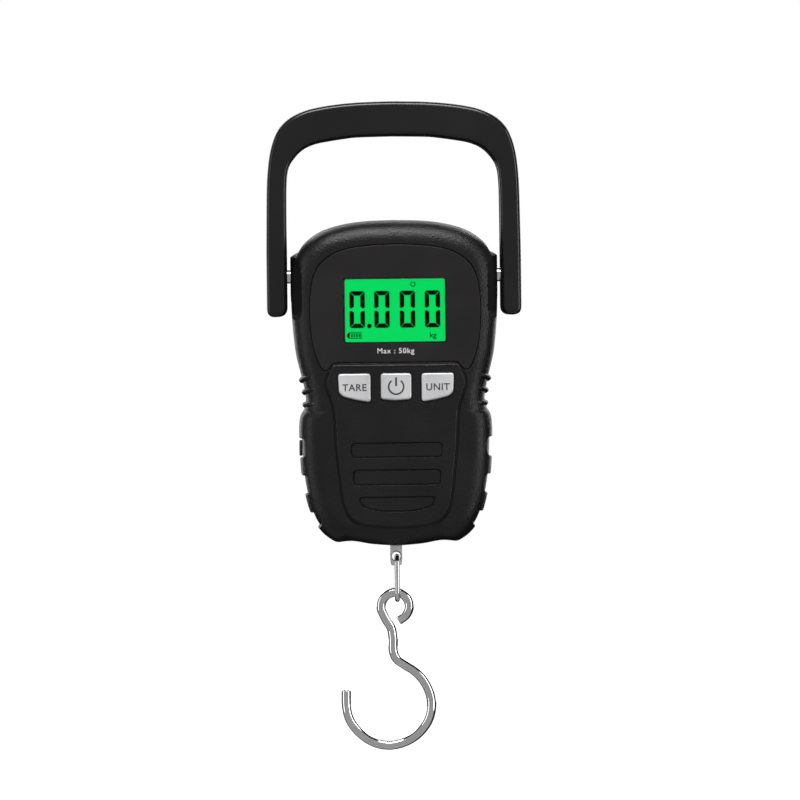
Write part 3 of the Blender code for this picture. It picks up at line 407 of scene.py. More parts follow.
def finished(data, angle=30):
    """Merges stray points after the cuts, and shades smooth up to this angle."""
    bm = merged(data, 2e-6)
    bmesh.ops.dissolve_degenerate(bm, edges=bm.edges, dist=1e-6)
    return mesh_from(data.name, bm, angle)


def mesh_of(curve):
    """The mesh that a curve or a text makes."""
    guide = bpy.data.objects.new("guide", curve)
    bpy.context.scene.collection.objects.link(guide)
    graph = bpy.context.evaluated_depsgraph_get()
    data = bpy.data.meshes.new_from_object(guide.evaluated_get(graph))
    bpy.data.objects.remove(guide)
    return data


def wire(points, radius, closed=False, sides=7):
    """A round wire as a mesh. A point may carry its own share of the radius as a fourth number."""
    line = bpy.data.curves.new("wire", "CURVE")
    line.dimensions = "3D"
    line.bevel_depth = radius * MM
    line.bevel_resolution = sides
    line.use_fill_caps = not closed
    spline = line.splines.new("POLY")
    spline.points.add(len(points) - 1)
    spline.use_cyclic_u = closed
    for spot, point in zip(spline.points, points):
        spot.co = (*at(*point[:3]), 1.0)
        spot.radius = point[3] if len(point) > 3 else 1.0
    return mesh_from("wire", merged(mesh_of(line), 1e-6), 40)


CAPITAL_SHARE = 0.7


def lettering(words, x, y, z, height, spacing=1.0, thick=0.04, bold=0.0):
    """Raised lettering that faces the front, centred on x with its foot at z."""
    text = bpy.data.curves.new("words", "FONT")
    text.body = words
    text.align_x = "CENTER"
    text.size = height / CAPITAL_SHARE
    text.space_character = spacing
    text.extrude = thick / 2
    text.offset = bold
    text.resolution_u = 6
    data = mesh_of(text)
    stand = Matrix.Rotation(math.pi / 2, 4, "X") @ Matrix.Scale(MM, 4)
    data.transform(Matrix.Translation(at(x, y, z)) @ stand)
    return mesh_from("words", merged(data, 1e-7))


# ================================================================ materials
def look(name, colour, roughness, metallic=0.0, **sockets):
    """A material with these values. A socket's name has its spaces written as underscores."""
    made = bpy.data.materials.new(name)
    made.use_nodes = True
    shader = made.node_tree.nodes["Principled BSDF"]
    shader.inputs["Base Color"].default_value = (*colour, 1.0)
    shader.inputs["Roughness"].default_value = roughness
    shader.inputs["Metallic"].default_value = metallic
    for socket, value in sockets.items():
        shader.inputs[socket.replace("_", " ")].default_value = value
    made.diffuse_color = (*colour, 1.0)
    return made


# The part of its range from 0 to 1 that a noise mostly fills.
NOISE_LOW, NOISE_HIGH = 0.3, 0.7


def noise(made, scale, detail=2.0, stretch=None):
    """A noise over the object, in features per metre."""
    nodes, links = made.node_tree.nodes, made.node_tree.links
    place = nodes.new("ShaderNodeTexCoord")
    speck = nodes.new("ShaderNodeTexNoise")
    speck.inputs["Scale"].default_value = scale
    speck.inputs["Detail"].default_value = detail
    source = place.outputs["Object"]
    if stretch:
        move = nodes.new("ShaderNodeMapping")
        move.inputs["Scale"].default_value = stretch
        links.new(source, move.inputs["Vector"])
        source = move.outputs["Vector"]
    links.new(source, speck.inputs["Vector"])
    return speck.outputs["Fac"]


def tint(made, source, dark, light):
    """Colours the surface between two colours by a noise."""
    nodes, links = made.node_tree.nodes, made.node_tree.links
    ramp = nodes.new("ShaderNodeValToRGB")
    ramp.color_ramp.elements[0].position = NOISE_LOW
    ramp.color_ramp.elements[0].color = (*dark, 1.0)
    ramp.color_ramp.elements[1].position = NOISE_HIGH
    ramp.color_ramp.elements[1].color = (*light, 1.0)
    links.new(source, ramp.inputs["Fac"])
    links.new(ramp.outputs["Color"], nodes["Principled BSDF"].inputs["Base Color"])


def roughen(made, source, low, high):
    """Varies the surface's roughness between two values by a noise."""
    nodes, links = made.node_tree.nodes, made.node_tree.links
    ramp = nodes.new("ShaderNodeMapRange")
    span = (("From Min", NOISE_LOW), ("From Max", NOISE_HIGH), ("To Min", low), ("To Max", high))
    for key, value in span:
        ramp.inputs[key].default_value = value
    links.new(source, ramp.inputs["Value"])
    links.new(ramp.outputs["Result"], nodes["Principled BSDF"].inputs["Roughness"])


def bump(made, source, strength, depth):
    """Raises the surface by a noise. depth is in millimetres."""
    nodes, links = made.node_tree.nodes, made.node_tree.links
    rise = nodes.new("ShaderNodeBump")
    rise.inputs["Strength"].default_value = strength
    rise.inputs["Distance"].default_value = depth * MM
    links.new(source, rise.inputs["Height"])
    links.new(rise.outputs["Normal"], nodes["Principled BSDF"].inputs["Normal"])


def plastic(name, colour, roughness, grain=0.03, size=2600.0, shine=0.5):
    """Moulded plastic: a fine spark-eroded grain, uneven gloss and a little uneven colour."""
    made = look(name, colour, roughness, Specular_IOR_Level=shine)
    fine = noise(made, size, 2.0)
    broad = noise(made, 55.0, 3.0)
    tint(made, broad, [c * 0.85 for c in colour], [c * 1.15 for c in colour])
    roughen(made, broad, roughness - 0.05, roughness + 0.05)
    bump(made, fine, 0.5, grain)
    return made


def metal(name, colour, roughness, grain=0.0015, stretch=None):
    """Plated or drawn metal with fine marks and a little uneven gloss."""
    made = look(name, colour, roughness, 1.0)
    fine = noise(made, 900.0, 4.0, stretch)
    broad = noise(made, 140.0, 3.0)
    tint(made, broad, [c * 0.92 for c in colour], [min(c * 1.05, 1) for c in colour])
    roughen(made, fine, roughness * 0.7, roughness * 1.5)
    bump(made, fine, 0.4, grain)
    return made


def lit_lcd():
    """The display's glass, which shines green a little unevenly."""
    made = look("lit_lcd", (0.0, 0.01, 0.002), 0.3, Emission_Strength=0.93, Specular_IOR_Level=0.02)
    nodes, links = made.node_tree.nodes, made.node_tree.links
    glow = noise(made, 25.0, 1.0)
    lit = nodes.new("ShaderNodeValToRGB")
    lit.color_ramp.elements[0].color = (0.0012, 0.70, 0.113, 1.0)
    lit.color_ramp.elements[1].color = (0.0016, 0.76, 0.126, 1.0)
    links.new(glow, lit.inputs["Fac"])
    links.new(lit.outputs["Color"], nodes["Principled BSDF"].inputs["Emission Color"])
    bump(made, noise(made, 2500.0), 0.1, 0.003)
    return made


shell_look = plastic("shell_plastic", (0.0068, 0.0068, 0.0070), 0.36, 0.42, 1500.0, 0.33)
handle_look = plastic("handle_plastic", (0.0068, 0.0068, 0.0070), 0.21, 0.012, 2600.0, 0.42)
panel_look = plastic("panel_plastic", (0.0105, 0.0090, 0.0098), 0.42, 0.008, 3200.0, 0.36)
button_look = plastic("silver_paint", (0.69, 0.69, 0.70), 0.36, 0.02, 2400.0)
button_look.node_tree.nodes["Principled BSDF"].inputs["Metallic"].default_value = 0.2
chrome_look = metal("chrome", (0.74, 0.74, 0.75), 0.06, 0.0008)
plate_look = metal("plated_steel", (0.86, 0.86, 0.86), 0.24, 0.004, (1, 1, 0.15))
legend_look = plastic("legend_ink", (0.05, 0.05, 0.052), 0.5, 0.004)
white_ink = plastic("white_ink", (0.85, 0.85, 0.85), 0.5, 0.003)
segment_look = plastic("segment_ink", (0.0003, 0.004, 0.0008), 0.5, 0.002, shine=0.02)
window_look = look("window_acrylic", (1, 1, 1), 0.02, Transmission_Weight=1.0, IOR=1.08)
bump(window_look, noise(window_look, 35.0, 1.0), 0.05, 0.01)

SLOT_LOOKS = {
    "shell": shell_look,
    "handle": handle_look,
    "panel": panel_look,
    "window": window_look,
    "lcd": lit_lcd(),
    "light_guide": plastic("light_guide", (0.7, 0.9, 0.72), 0.3, 0.005),
    "white_plastic": plastic("white_plastic", (0.8, 0.8, 0.77), 0.5, 0.01),
    "button": button_look,
    "black_plastic": plastic("black_plastic", (0.02, 0.02, 0.021), 0.5, 0.02),
    "steel": metal("steel", (0.6, 0.6, 0.59), 0.22, 0.003),
    "plate_steel": plate_look,
    "cell_metal": metal("milled_aluminium", (0.72, 0.73, 0.74), 0.32, 0.006, (0.1, 1, 1)),
    "brass": metal("brass", (0.72, 0.52, 0.2), 0.25, 0.004),
    "board": plastic("circuit_board", (0.02, 0.14, 0.05), 0.4, 0.02, 700.0),
    "foil": plastic("gauge_foil", (0.55, 0.26, 0.06), 0.35, 0.01),
    "battery": plastic("battery_sleeve", (0.04, 0.12, 0.3), 0.3, 0.004),
    "rubber": plastic("wire_sleeve", (0.12, 0.12, 0.12), 0.55, 0.01),
    "tape": plastic("tape", (0.8, 0.74, 0.5), 0.35, 0.004),
}
for part in frame["record"]["subparts"]:
    node = frame["nodes"][part["node"]]
    node.data.materials.clear()
    node.data.materials.append(SLOT_LOOKS[part["material_slot"]])


# ================================================================ shell halves
SCREWS = ((-15.0, 12.0), (15.0, 12.0), (-21.0, -87.0), (21.0, -87.0))
POCKETS = ((-63.4, 3.6), (-77.0, 3.5), (-90.0, 2.9))
POCKET_REACH, POCKET_COLUMNS, POCKET_ROWS = 13.4, 30, 6
RIBS = ((-38.4, 1.4), (-42.9, 1.3), (-47.6, 1.2))
RIB_REACH, RIB_STEPS, RIB_SIDES = 14.2, 22, 16
GROOVES = ((-61.7, -67.3, 16.9), (-71.6, -77.4, 16.2), (-81.6, -87.1, 14.0))
ROD_BORE = 2.9
KEY_TOP = -36.3
MOAT_TOP = KEY_TOP + 0.3


def half_shell(sign, deep):
    """Half of the hollow body. deep is how far from the parting plane its hollow reaches."""
    rings = []
    for i in range(15):
        turn = math.pi / 2 * (1 - i / 14)
        line = inset(EDGE_X * (1 - math.cos(turn)))
        rings.append([(x, sign * (SIDE_Y + EDGE_Y * math.sin(turn)), z) for x, z in line])
    rings.append([(x, sign * (SPLIT + 0.25), z) for x, z in OUTLINE])
    rings.append([(x, sign * SPLIT, z) for x, z in inset(0.25)])
    rings.append([(x, sign * SPLIT, z) for x, z in inset(WALL)])
    for i in range(7):
        turn = math.pi / 2 * i / 6
        line = inset(WALL + (EDGE_X - WALL) * (1 - math.cos(turn)))
        rings.append([(x, sign * (SIDE_Y + (deep - SIDE_Y) * math.sin(turn)), z) for x, z in line])
    return mesh_from("shell", drawn(loft, rings))


def ears(bm, sign):
    """The cheeks beside the handle arms, which slope back towards the face."""
    sections = ((SPLIT, 0.0, 0.0), (3.4, 0.0, 0.0), (4.4, 0.25, 0.15), (6.5, 1.3, 0.7), (9.5, 3.0, 1.6))
    for side in (-1, 1):
        rings = []
        for y, back, top in sections:
            x = EAR_X - back
            line = [
                (30.0, 12.0 - top), (32.4 - top, 10.4 - top), (x - 1.9, 8.3 - top * 0.7),
                (x - 0.7, 7.6 - top * 0.5), (x - 0.1, 7.15 - top * 0.4), (x, 6.8 - top * 0.4),
                (x, -7.0), (x - 0.1, -9.0), (x - 1.2, -14.0), (30.0, -14.0),
            ]
            rings.append([(side * u, sign * y, v) for u, v in line])
        loft(bm, rings)


def ribs(bm, sign):
    """Grip ribs that run round the waist and fade out on the face's rounded edge."""
    for side in (-1, 1):
        for height, proud in RIBS:
            rings = []
            for i in range(RIB_STEPS + 1):
                share = i / RIB_STEPS
                along = sign * (SPLIT + (RIB_REACH - SPLIT) * share)
                fade = math.sqrt(max(1 - share ** 3, 0.0))
                ring = []
                for k in range(RIB_SIDES):
                    turn = math.tau * k / RIB_SIDES
                    lift = -0.6 + (0.5 + (proud + 0.1) * fade) * math.cos(turn)
                    up = (0.35 + 0.85 * fade) * math.sin(turn) + 0.6 * share
                    point = skin(side, height + up, along, lift)
                    ring.append(((Vector(point) - PIVOT) / MM)[:])
                rings.append(ring)
            loft(bm, rings)


def pocket_sheet(side, height, half, growth, lift):
    """A grid of points in the shape of a pocket, at this lift from the body's skin."""
    lean = math.atan2(side_at(height + 1) - side_at(height - 1), 2)
    end, tall = POCKET_REACH + growth, half + growth
    sheet = []
    for c in range(POCKET_COLUMNS + 1):
        along = end * math.sin(math.pi / 2 * (2 * c / POCKET_COLUMNS - 1))
        over = (abs(along) - (end - tall)) / tall
        extent = tall * math.sqrt(max(1 - max(over, 0.0) ** 2, 0.002))
        line = []
        for r in range(POCKET_ROWS + 1):
            up = extent * (2 * r / POCKET_ROWS - 1) * math.cos(lean)
            line.append(skin(side, height + up, along, lift))
        sheet.append(line)
    return sheet


def rim(grid):
    """The points round the edge of a grid, in order."""
    columns, rows = len(grid) - 1, len(grid[0]) - 1
    around = [grid[c][0] for c in range(columns)]
    around += [grid[columns][r] for r in range(rows)]
    around += [grid[c][rows] for c in range(columns, 0, -1)]
    return around + [grid[0][r] for r in range(rows, 0, -1)]


def pockets(bm):
    """Finger pockets sunk into each side, which follow the surface round to the face."""
    steps = ((0.4, 2.0), (0.4, 0.05), (0.0, -0.35), (-0.2, -1.0), (-0.35, -1.1))
    for side in (-1, 1):
        for height, half in POCKETS:
            sheets = [pocket_sheet(side, height, half, *step) for step in steps]
            ends = []
            for sheet in (sheets[0], sheets[-1]):
                ends.append([[bm.verts.new(p) for p in line] for line in sheet])
            for grid in ends:
                for c in range(POCKET_COLUMNS):
                    for r in range(POCKET_ROWS):
                        bm.faces.new((grid[c][r], grid[c + 1][r], grid[c + 1][r + 1], grid[c][r + 1]))
            loops = [rim(ends[0])]
            loops += [[bm.verts.new(p) for p in rim(sheet)] for sheet in sheets[1:-1]]
            loops.append(rim(ends[1]))
            for first, second in zip(loops, loops[1:]):
                skirt(bm, first, second)


def scoops(bm, sign):
    """Slanted facets that cut the head's rounded edge back behind the handle arms."""
    for side in (-1, 1):
        rings = []
        for z, away in ((14.0, 0.0), (-13.0, 0.0), (-15.5, 0.5), (-19.0, 3.0)):
            line = [
                (34.0 + away, -14.6), (37.95 + away, -6.2), (46.0, -6.2), (46.0, -20.0),
                (34.0 + away, -20.0),
            ]
            rings.append([(side * x, -sign * y, z) for x, y in line])
        loft(bm, rings)


def gripped_half(sign, deep):
    """Half of the body with its ears, scoops and ribs."""
    shell = carve(half_shell(sign, deep), drawn(ears, sign), "UNION")
    shell = carve(shell, drawn(scoops, sign))
    return carve(shell, drawn(ribs, sign), "UNION")


def opened(shell):
    """Cuts the pockets, the rod's bore and the bracket's slot into a half."""
    shell = carve(shell, drawn(pockets))
    shell = carve(shell, drawn(turned, "X", (0, 0), [(-50, ROD_BORE), (50, ROD_BORE)]))
    slot = rounded(-2.65, 2.65, -103, -94, 0.3)
    return carve(shell, drawn(levels, slot, [(0, -1.4), (0, 1.4)]))


# ================================================================ front half
def button_line(side):
    """The outline of a side button, which slopes down towards the middle."""
    line = [
        (9.4, KEY_TOP), (21.3, KEY_TOP), (21.0, -43.2), (19.4, -44.7), (14.6, -45.9), (9.4, -46.8),
    ]
    return soften([(side * x, z) for x, z in line], 1.2)


BUTTONS = {
    "tare": button_line(-1),
    "power": soften([(-5.6, KEY_TOP), (5.6, KEY_TOP), (5.6, -45.7), (0.0, -46.2), (-5.6, -45.7)], 1.1),
    "unit": button_line(1),
}
window = rounded(-18.4, 18.4, -24.6, -1.6, 0.6)

moat = [(x, min(z, MOAT_TOP)) for x, z in grow(pad_line, 0.55)]
moat = [p for i, p in enumerate(moat) if math.dist(p, moat[i - 1]) > 0.02]
moat = [
    p for i, p in enumerate(moat)
    if min(p[1], moat[i - 1][1], moat[(i + 1) % len(moat)][1]) < MOAT_TOP
]
moat_steps = [(0.25, -FACE_Y - 1), (0.25, -FACE_Y), (0.0, -FACE_Y + 0.25), (0.0, -FACE_Y + 0.4)]

groove_lines = [rounded(-reach, reach, low, top, 1.6) for top, low, reach in GROOVES[:2]]
top, low, reach = GROOVES[2]
round_foot = [
    (reach, top - 1.4), (0.96 * reach, top - 2.5), (0.86 * reach, low + 1.6), (0.62 * reach, low + 0.5),
    (0.32 * reach, low), (0, low - 0.1),
]
shoulder = [(reach - 1.4 * (1 - t) ** 2, top - 1.4 * t ** 2) for t in (0, 0.25, 0.5, 0.75)]
groove_lines.append(mirrored([(0, top)] + shoulder + flow(round_foot, 5)))

shell = gripped_half(-1, INNER_FRONT)
shell = carve(shell, drawn(levels, moat, moat_steps))
shell = carve(shell, drawn(plate, pad_line, -PAD_Y, -FACE_Y + 0.9, edge=0.75, bends=6), "UNION")
panel_floor = -(FACE_Y - PANEL_THICK - GAP)
shell = carve(shell, drawn(lipped, grow(panel_line, GAP), -FACE_Y, panel_floor, lip=0.18))
bm = drawn(levels, window, [(0, -FACE_Y), (0, -INNER_FRONT + 1)])
for outline in BUTTONS.values():
    lipped(bm, grow(outline, 0.35), -PAD_Y, -INNER_FRONT + 1, lip=0.3)
shell = carve(shell, bm)
bm = bmesh.new()
for line in groove_lines:
    lipped(bm, line, -PAD_Y, -PAD_Y + 0.95, lip=0.12)
shell = carve(shell, bm)
bm = bmesh.new()
for line in groove_lines:
    plate(bm, grow(line, -0.42), -PAD_Y + 0.35, -PAD_Y + 1.3, edge=0.2)
shell = opened(carve(shell, bm, "UNION"))
weigh(piece("body_front", finished(shell), shell_look, "housing", "shell", "front_shell"))

# ================================================================ rear half
BAY_LOW, BAY_TOP, BAY_X = -30.3, -5.7, 26.4

shell = gripped_half(1, INNER_REAR)
bm = drawn(box, (-28, 28), (1.5, FACE_Y - 0.8), (BAY_LOW - 1.6, BAY_TOP + 1.6))
for spot in SCREWS:
    turned(bm, "Y", spot, [(SPLIT, 3.4), (FACE_Y - 1.2, 3.4)])
shell = carve(shell, bm, "UNION")
bm = drawn(lipped, rounded(-BAY_X, BAY_X, BAY_LOW, BAY_TOP, 0.6), FACE_Y, 2.7, lip=0.25)
for spot in SCREWS:
    turned(bm, "Y", spot, [(FACE_Y + 2, 2.9), (FACE_Y - 0.35, 2.9), (FACE_Y - 0.75, 2.5), (6.4, 2.5)])
shell = carve(shell, bm)
thumb_gap = rounded(-7.0, 7.0, BAY_LOW - 3.3, BAY_LOW + 1, 1.6)
bm = drawn(levels, thumb_gap, [(0.2, FACE_Y + 1), (0.2, FACE_Y), (0, FACE_Y - 0.2), (0, FACE_Y - 1.75)])
for spot in SCREWS:
    turned(bm, "Y", spot, [(-1, 1.3), (7.4, 1.3)])
box(bm, (-37, -30), (3.8, 9.0), (-64.5, -63.3))
shell = opened(carve(shell, bm))
weigh(piece("body_rear", finished(shell), shell_look, "housing", "shell", "rear_shell"))

# ================================================================ display
panel = mesh_from("panel", drawn(plate, panel_line, -FACE_Y, -(FACE_Y - PANEL_THICK), edge=0.22))
panel = carve(panel, drawn(lipped, grow(window, 0.7), -FACE_Y, -(FACE_Y - 3), lip=0.1))
weigh(piece("face_panel", finished(panel), panel_look, "housing", "panel", "display_panel"))

pane = drawn(plate, grow(window, 0.4), -(FACE_Y - 0.25), -(FACE_Y - PANEL_THICK), edge=0.12)
piece("window_pane", mesh_from("window", pane), window_look, "housing", "window", "lcd_window")

DIGIT_TOP, DIGIT_LOW, DIGIT_WIDTH, STROKE, CUT = -5.9, -19.5, 5.65, 1.65, 0.13
DIGIT_MID = (DIGIT_TOP + DIGIT_LOW) / 2
INK_FRONT, INK_BACK = -LCD_FRONT - 0.06, -LCD_FRONT - 0.01


def segment(bm, outline):
    levels(bm, outline, [(0, INK_FRONT), (0, INK_BACK)])


def zero(bm, left):
    """The six outer segments of a digit."""
    right = left + DIGIT_WIDTH
    for way, z in ((-1, DIGIT_TOP), (1, DIGIT_LOW)):
        near, bevel = z + way * STROKE, z + way * 0.3
        segment(bm, [
            (left + 0.55 + CUT, z), (right - 0.55 - CUT, z), (right - 0.2 - CUT, bevel),
            (right - STROKE - CUT, near), (left + STROKE + CUT, near), (left + 0.2 + CUT, bevel),
        ])
        for x, inward in ((left, 1), (right, -1)):
            inner_x = x + inward * STROKE
            segment(bm, [
                (x, z + way * (0.45 + CUT)), (x + inward * 0.2, z + way * (0.2 + CUT)),
                (inner_x, near + way * CUT), (inner_x, DIGIT_MID - way * 1.05),
                (x + inward * 0.75, DIGIT_MID - way * 0.42), (x, DIGIT_MID - way * 0.62),
            ])


def upright(bm, x0, x1, z0, z1):
    segment(bm, [(x0, z0), (x1, z0), (x1, z1), (x0, z1)])


def battery_symbol(bm):
    """A cell with four bars, drawn as its outline, its cap and the bars."""
    upright(bm, -17.0, -12.5, -21.35, -21.05)
    upright(bm, -17.0, -12.5, -23.35, -23.05)
    upright(bm, -12.7, -12.4, -23.35, -21.05)
    segment(bm, [
        (-17.7, -22.7), (-17.0, -23.35), (-16.7, -23.35), (-16.7, -21.05), (-17.0, -21.05), (-17.7, -21.7),
    ])
    for i in range(4):
        x = -16.2 + 0.92 * i
        upright(bm, x, x + 0.55, -22.8, -21.6)


def open_ring(bm, centre, radii, start, sweep, steps, y_front, y_back):
    """A flat ring with a gap, which runs from start through sweep, in degrees."""
    lines = [[], []]
    for i in range(steps + 1):
        turn = math.radians(start + sweep * i / steps)
        for reach, line in zip(radii, lines):
            line.append((centre[0] + reach * math.cos(turn), centre[1] + reach * math.sin(turn)))
    rows = [[bm.verts.new(at(x, y, z)) for x, z in line] for y in (y_front, y_back) for line in lines]
    for i in range(steps):
        for a, b in ((0, 1), (1, 3), (3, 2), (2, 0)):
            bm.faces.new((rows[a][i], rows[a][i + 1], rows[b][i + 1], rows[b][i]))
    for i in (0, steps):
        bm.faces.new((rows[0][i], rows[1][i], rows[3][i], rows[2][i]))


bm = bmesh.new()
for left in (-16.7, -7.6, 1.8, 11.0):
    zero(bm, left)
segment(bm, circle(-9.45, -18.75, 0.85, 24))
battery_symbol(bm)
piece("lcd_digits", mesh_from("digits", bm), segment_look, "housing", "lcd")

bm = drawn(open_ring, (6.7, -3.55), (0.95, 0.62), 102, 336, 24, INK_FRONT, INK_BACK)
piece("lcd_symbol", mesh_from("symbol", bm), segment_look, "housing", "lcd")
words = lettering("kg", 13.9, -LCD_FRONT - 0.03, -23.2, 2.0, bold=0.03)
piece("lcd_unit", words, segment_look, "housing", "lcd")
words = lettering("Max : 50kg", 0.0, -FACE_Y - 0.01, -28.9, 1.95, 1.12, 0.03)
piece("capacity_text", words, white_ink, "housing", "panel")

# ================================================================ buttons
FLANGE_FRONT = -FLANGE_BACK - 0.9
cap_edge = [(-0.75, 0.0), (-0.5, 0.04), (-0.24, 0.14), (-0.07, 0.32), (0.0, 0.6)]
cap_steps = [(g, -BUTTON_FRONT + y) for g, y in cap_edge]
cap_steps += [(0, FLANGE_FRONT), (0.9, FLANGE_FRONT), (0.9, -FLANGE_BACK)]
for key, outline in BUTTONS.items():
    cap = mesh_from(key, drawn(levels, outline, cap_steps))
    weigh(piece(f"key_{key}", cap, button_look, f"{key}_button", "button", f"button_{key}"))

for key, words, x in (("tare", "TARE", -15.3), ("unit", "UNIT", 15.3)):
    data = lettering(words, x, -BUTTON_FRONT - 0.01, -42.6, 2.5, 1.08, 0.05, 0.06)
    piece(f"legend_{key}", data, legend_look, f"{key}_button", "button")

ink_front, ink_back = -BUTTON_FRONT - 0.03, -BUTTON_FRONT + 0.02
bm = drawn(open_ring, (0, -41.2), (3.05, 2.45), 128, 284, 40, ink_front, ink_back)
levels(bm, rounded(-0.34, 0.34, -41.0, -37.7, 0.2), [(0, ink_front), (0, ink_back)])
piece("legend_power", mesh_from("legend", bm), legend_look, "power_button", "button")

# ================================================================ handle
ARM_OUT, ARM_IN = HANDLE_HIGH.x, 39.4
RISE = HANDLE_HIGH.z - 12.1
outer = [(x * ARM_OUT / OUTER_KEYS[-1][0], RISE + z) for x, z in flow(OUTER_KEYS, 6)]
inner = [(x, RISE + z) for x, z in flow(INNER_KEYS, 6)]
foot = soften([(ARM_OUT, 7.0), (ARM_OUT, -15.1), (ARM_IN, -14.7), (ARM_IN, 7.0)], 3.3, 10)
foot = [p for p in foot if p[1] < 0]
arm_edge = [(-1.9, 0), (-1.45, 0.05), (-0.95, 0.22), (-0.55, 0.5), (-0.25, 0.9), (-0.06, 1.4), (0, 1.9)]
steps = [(g, -HANDLE_HIGH.y + y) for g, y in arm_edge]
steps += [(g, -y) for g, y in reversed(steps)]
grip = mesh_from("grip", drawn(levels, mirrored(outer + foot + inner), steps), 40)
bm = bmesh.new()
for side in (-1, 1):
    socket = [(ARM_IN - 2, 3.3), (ARM_IN + 0.02, 3.3), (ARM_IN + 0.4, 2.9), (ROD_END + 0.3, 2.9)]
    turned(bm, "X", (0, 0), [(side * x, radius) for x, radius in socket])
grip = carve(grip, bm)
weigh(piece("handle_bar", finished(grip, 40), handle_look, "handle", "handle", "handle"))

rod_steps = [(-ROD_END, 2.0), (-ROD_END + 0.6, ROD_RADIUS), (ROD_END - 0.6, ROD_RADIUS), (ROD_END, 2.0)]
rod = mesh_from("rod", drawn(turned, "X", (0, 0), rod_steps, 48))
piece("pivot_rod", rod, chrome_look, "housing", "steel", "cross_rod")

# ================================================================ bracket, link and hook
BRACKET_X, WIDE = -0.25, 2.25
half_line = [
    (3.6, BRACKET_HIGH.z), (3.6, -92.6), (WIDE, -93.8), (WIDE, -104.6), (WIDE - 0.35, BRACKET_LOW.z),
]
line = soften(half_line + [(-x, z) for x, z in reversed(half_line)], 0.7)
line = [(x + BRACKET_X, z) for x, z in line]
bm = drawn(levels, line, [(-0.3, -1.0), (-0.1, -0.93), (0, -0.75), (0, 0.75), (-0.1, 0.93), (-0.3, 1.0)])
bracket = mesh_from("bracket", bm, 40)
hole_steps = [(-2, 2.1), (-1.0, 2.0), (-0.6, 1.6), (0.6, 1.6), (1.0, 2.0), (2, 2.1)]
bm = drawn(turned, "Y", (BRACKET_X, -103.8), hole_steps)
turned(bm, "Y", (BRACKET_X, -88.3), [(-2, 1.5), (2, 1.5)])
for z in (-101.0, -101.9):
    dimple = rounded(BRACKET_X - 0.35, BRACKET_X + 0.35, z - 0.12, z + 0.12, 0.1)
    levels(bm, dimple, [(0.1, -1.2), (0, -0.85)])
bracket = carve(bracket, bm)
weigh(piece("bracket_plate", finished(bracket, 40), plate_look, "housing", "plate_steel", "hook_bracket"))

top = LINK_HIGH.z - LINK_WIRE - LINK_RADIUS
low = LINK_LOW.z + LINK_WIRE + LINK_RADIUS
ring = []
for start, centre in ((0, top), (math.pi, low)):
    for i in range(33):
        turn = start + math.pi * i / 32
        ring.append((0, LINK_RADIUS * math.cos(turn), centre + LINK_RADIUS * math.sin(turn)))
piece("link_ring", wire(ring, LINK_WIRE, closed=True), chrome_look, "link", "steel", "hook_link")

HOOK_X, HOOK_LEAN, EYE_RADIUS = -0.85, 0.02, 5.2
HOOK_WIRE = HOOK_HIGH.y
EYE_Z = HOOK_HIGH.z - HOOK_WIRE - EYE_RADIUS
eye = [(1.2, 0, EYE_Z - 5.35), (1.75, 0, EYE_Z - 5.0)]
for i in range(49):
    turn = math.radians(-62 + 260 * i / 48)
    eye.append((EYE_RADIUS * math.cos(turn), 0, EYE_Z + EYE_RADIUS * math.sin(turn)))
shank = flow([eye[-1], (-3.3, 0, EYE_Z - 4.9), (-1.3, 0, EYE_Z - 8.2), (-0.6, 0, EYE_Z - 12.0)], 8)[1:-1]
bend = [(x, 0, EYE_Z + z) for x, z in flow(BEND_KEYS, 8)]
route = [(x + HOOK_X + HOOK_LEAN * (z - EYE_Z), y, z) for x, y, z in eye + shank + bend]


def blunt(points):
    """Chamfers the two ends of a wire's route."""
    made = list(points)
    for _ in range(2):
        end, after = Vector(made[0][:3]), Vector(made[1][:3])
        inward = (after - end).normalized()
        chamfer = ((0.0, 0.82), (0.08, 0.91), (0.28, 1.0))
        tips = [(*(end + inward * reach)[:], size) for reach, size in chamfer]
        made = (tips + made[1:])[::-1]
    return made


piece("hook_wire", wire(blunt(route), HOOK_WIRE, sides=9), chrome_look, "hook", "steel", "hook")

# ================================================================ door, screws and tab
HINGE_Y, HINGE_Z, KNUCKLE = FACE_Y - 1.15, BAY_TOP - 1.45, 1.15
DOOR_X, DOOR_BACK, DOOR_LOW = 26.1, FACE_Y - 1.65, -30.0
section = [
    (FACE_Y, DOOR_LOW + 0.3), (FACE_Y - 0.06, DOOR_LOW + 0.15), (FACE_Y - 0.3, DOOR_LOW),
    (DOOR_BACK, DOOR_LOW), (DOOR_BACK, HINGE_Z - 1.3), (HINGE_Y - KNUCKLE, HINGE_Z - 0.5),
]
for i in range(13):
    turn = math.radians(180 - 15 * i)
    section.append((HINGE_Y + KNUCKLE * math.cos(turn), HINGE_Z + KNUCKLE * math.sin(turn)))
door_steps = [(-0.2, -DOOR_X), (0, -DOOR_X + 0.2), (0, DOOR_X - 0.2), (-0.2, DOOR_X)]
door = mesh_from("door", drawn(levels, section, door_steps, axis="X"))
latch = rounded(-6.7, 6.7, BAY_LOW - 3.0, BAY_LOW + 2.0, 1.5)
bm = drawn(plate, latch, FACE_Y - 0.1, FACE_Y - 1.45, edge=0.3)
for side in (-1, 1):
    turned(bm, "X", (HINGE_Y, HINGE_Z), [(side * 24.6, 0.6), (side * 27.2, 0.6)], 20)
door = carve(door, bm, "UNION")
bm = bmesh.new()
for i in range(4):
    z, reach = BAY_LOW + 3.6 + 1.7 * i, 6.0 - 1.1 * i
    lipped(bm, rounded(-reach, reach, z - 0.4, z + 0.4, 0.38), FACE_Y, FACE_Y - 0.5, lip=0.12)
door = carve(door, bm)
weigh(piece("door_cover", finished(door), shell_look, "door", "shell", "battery_door"))


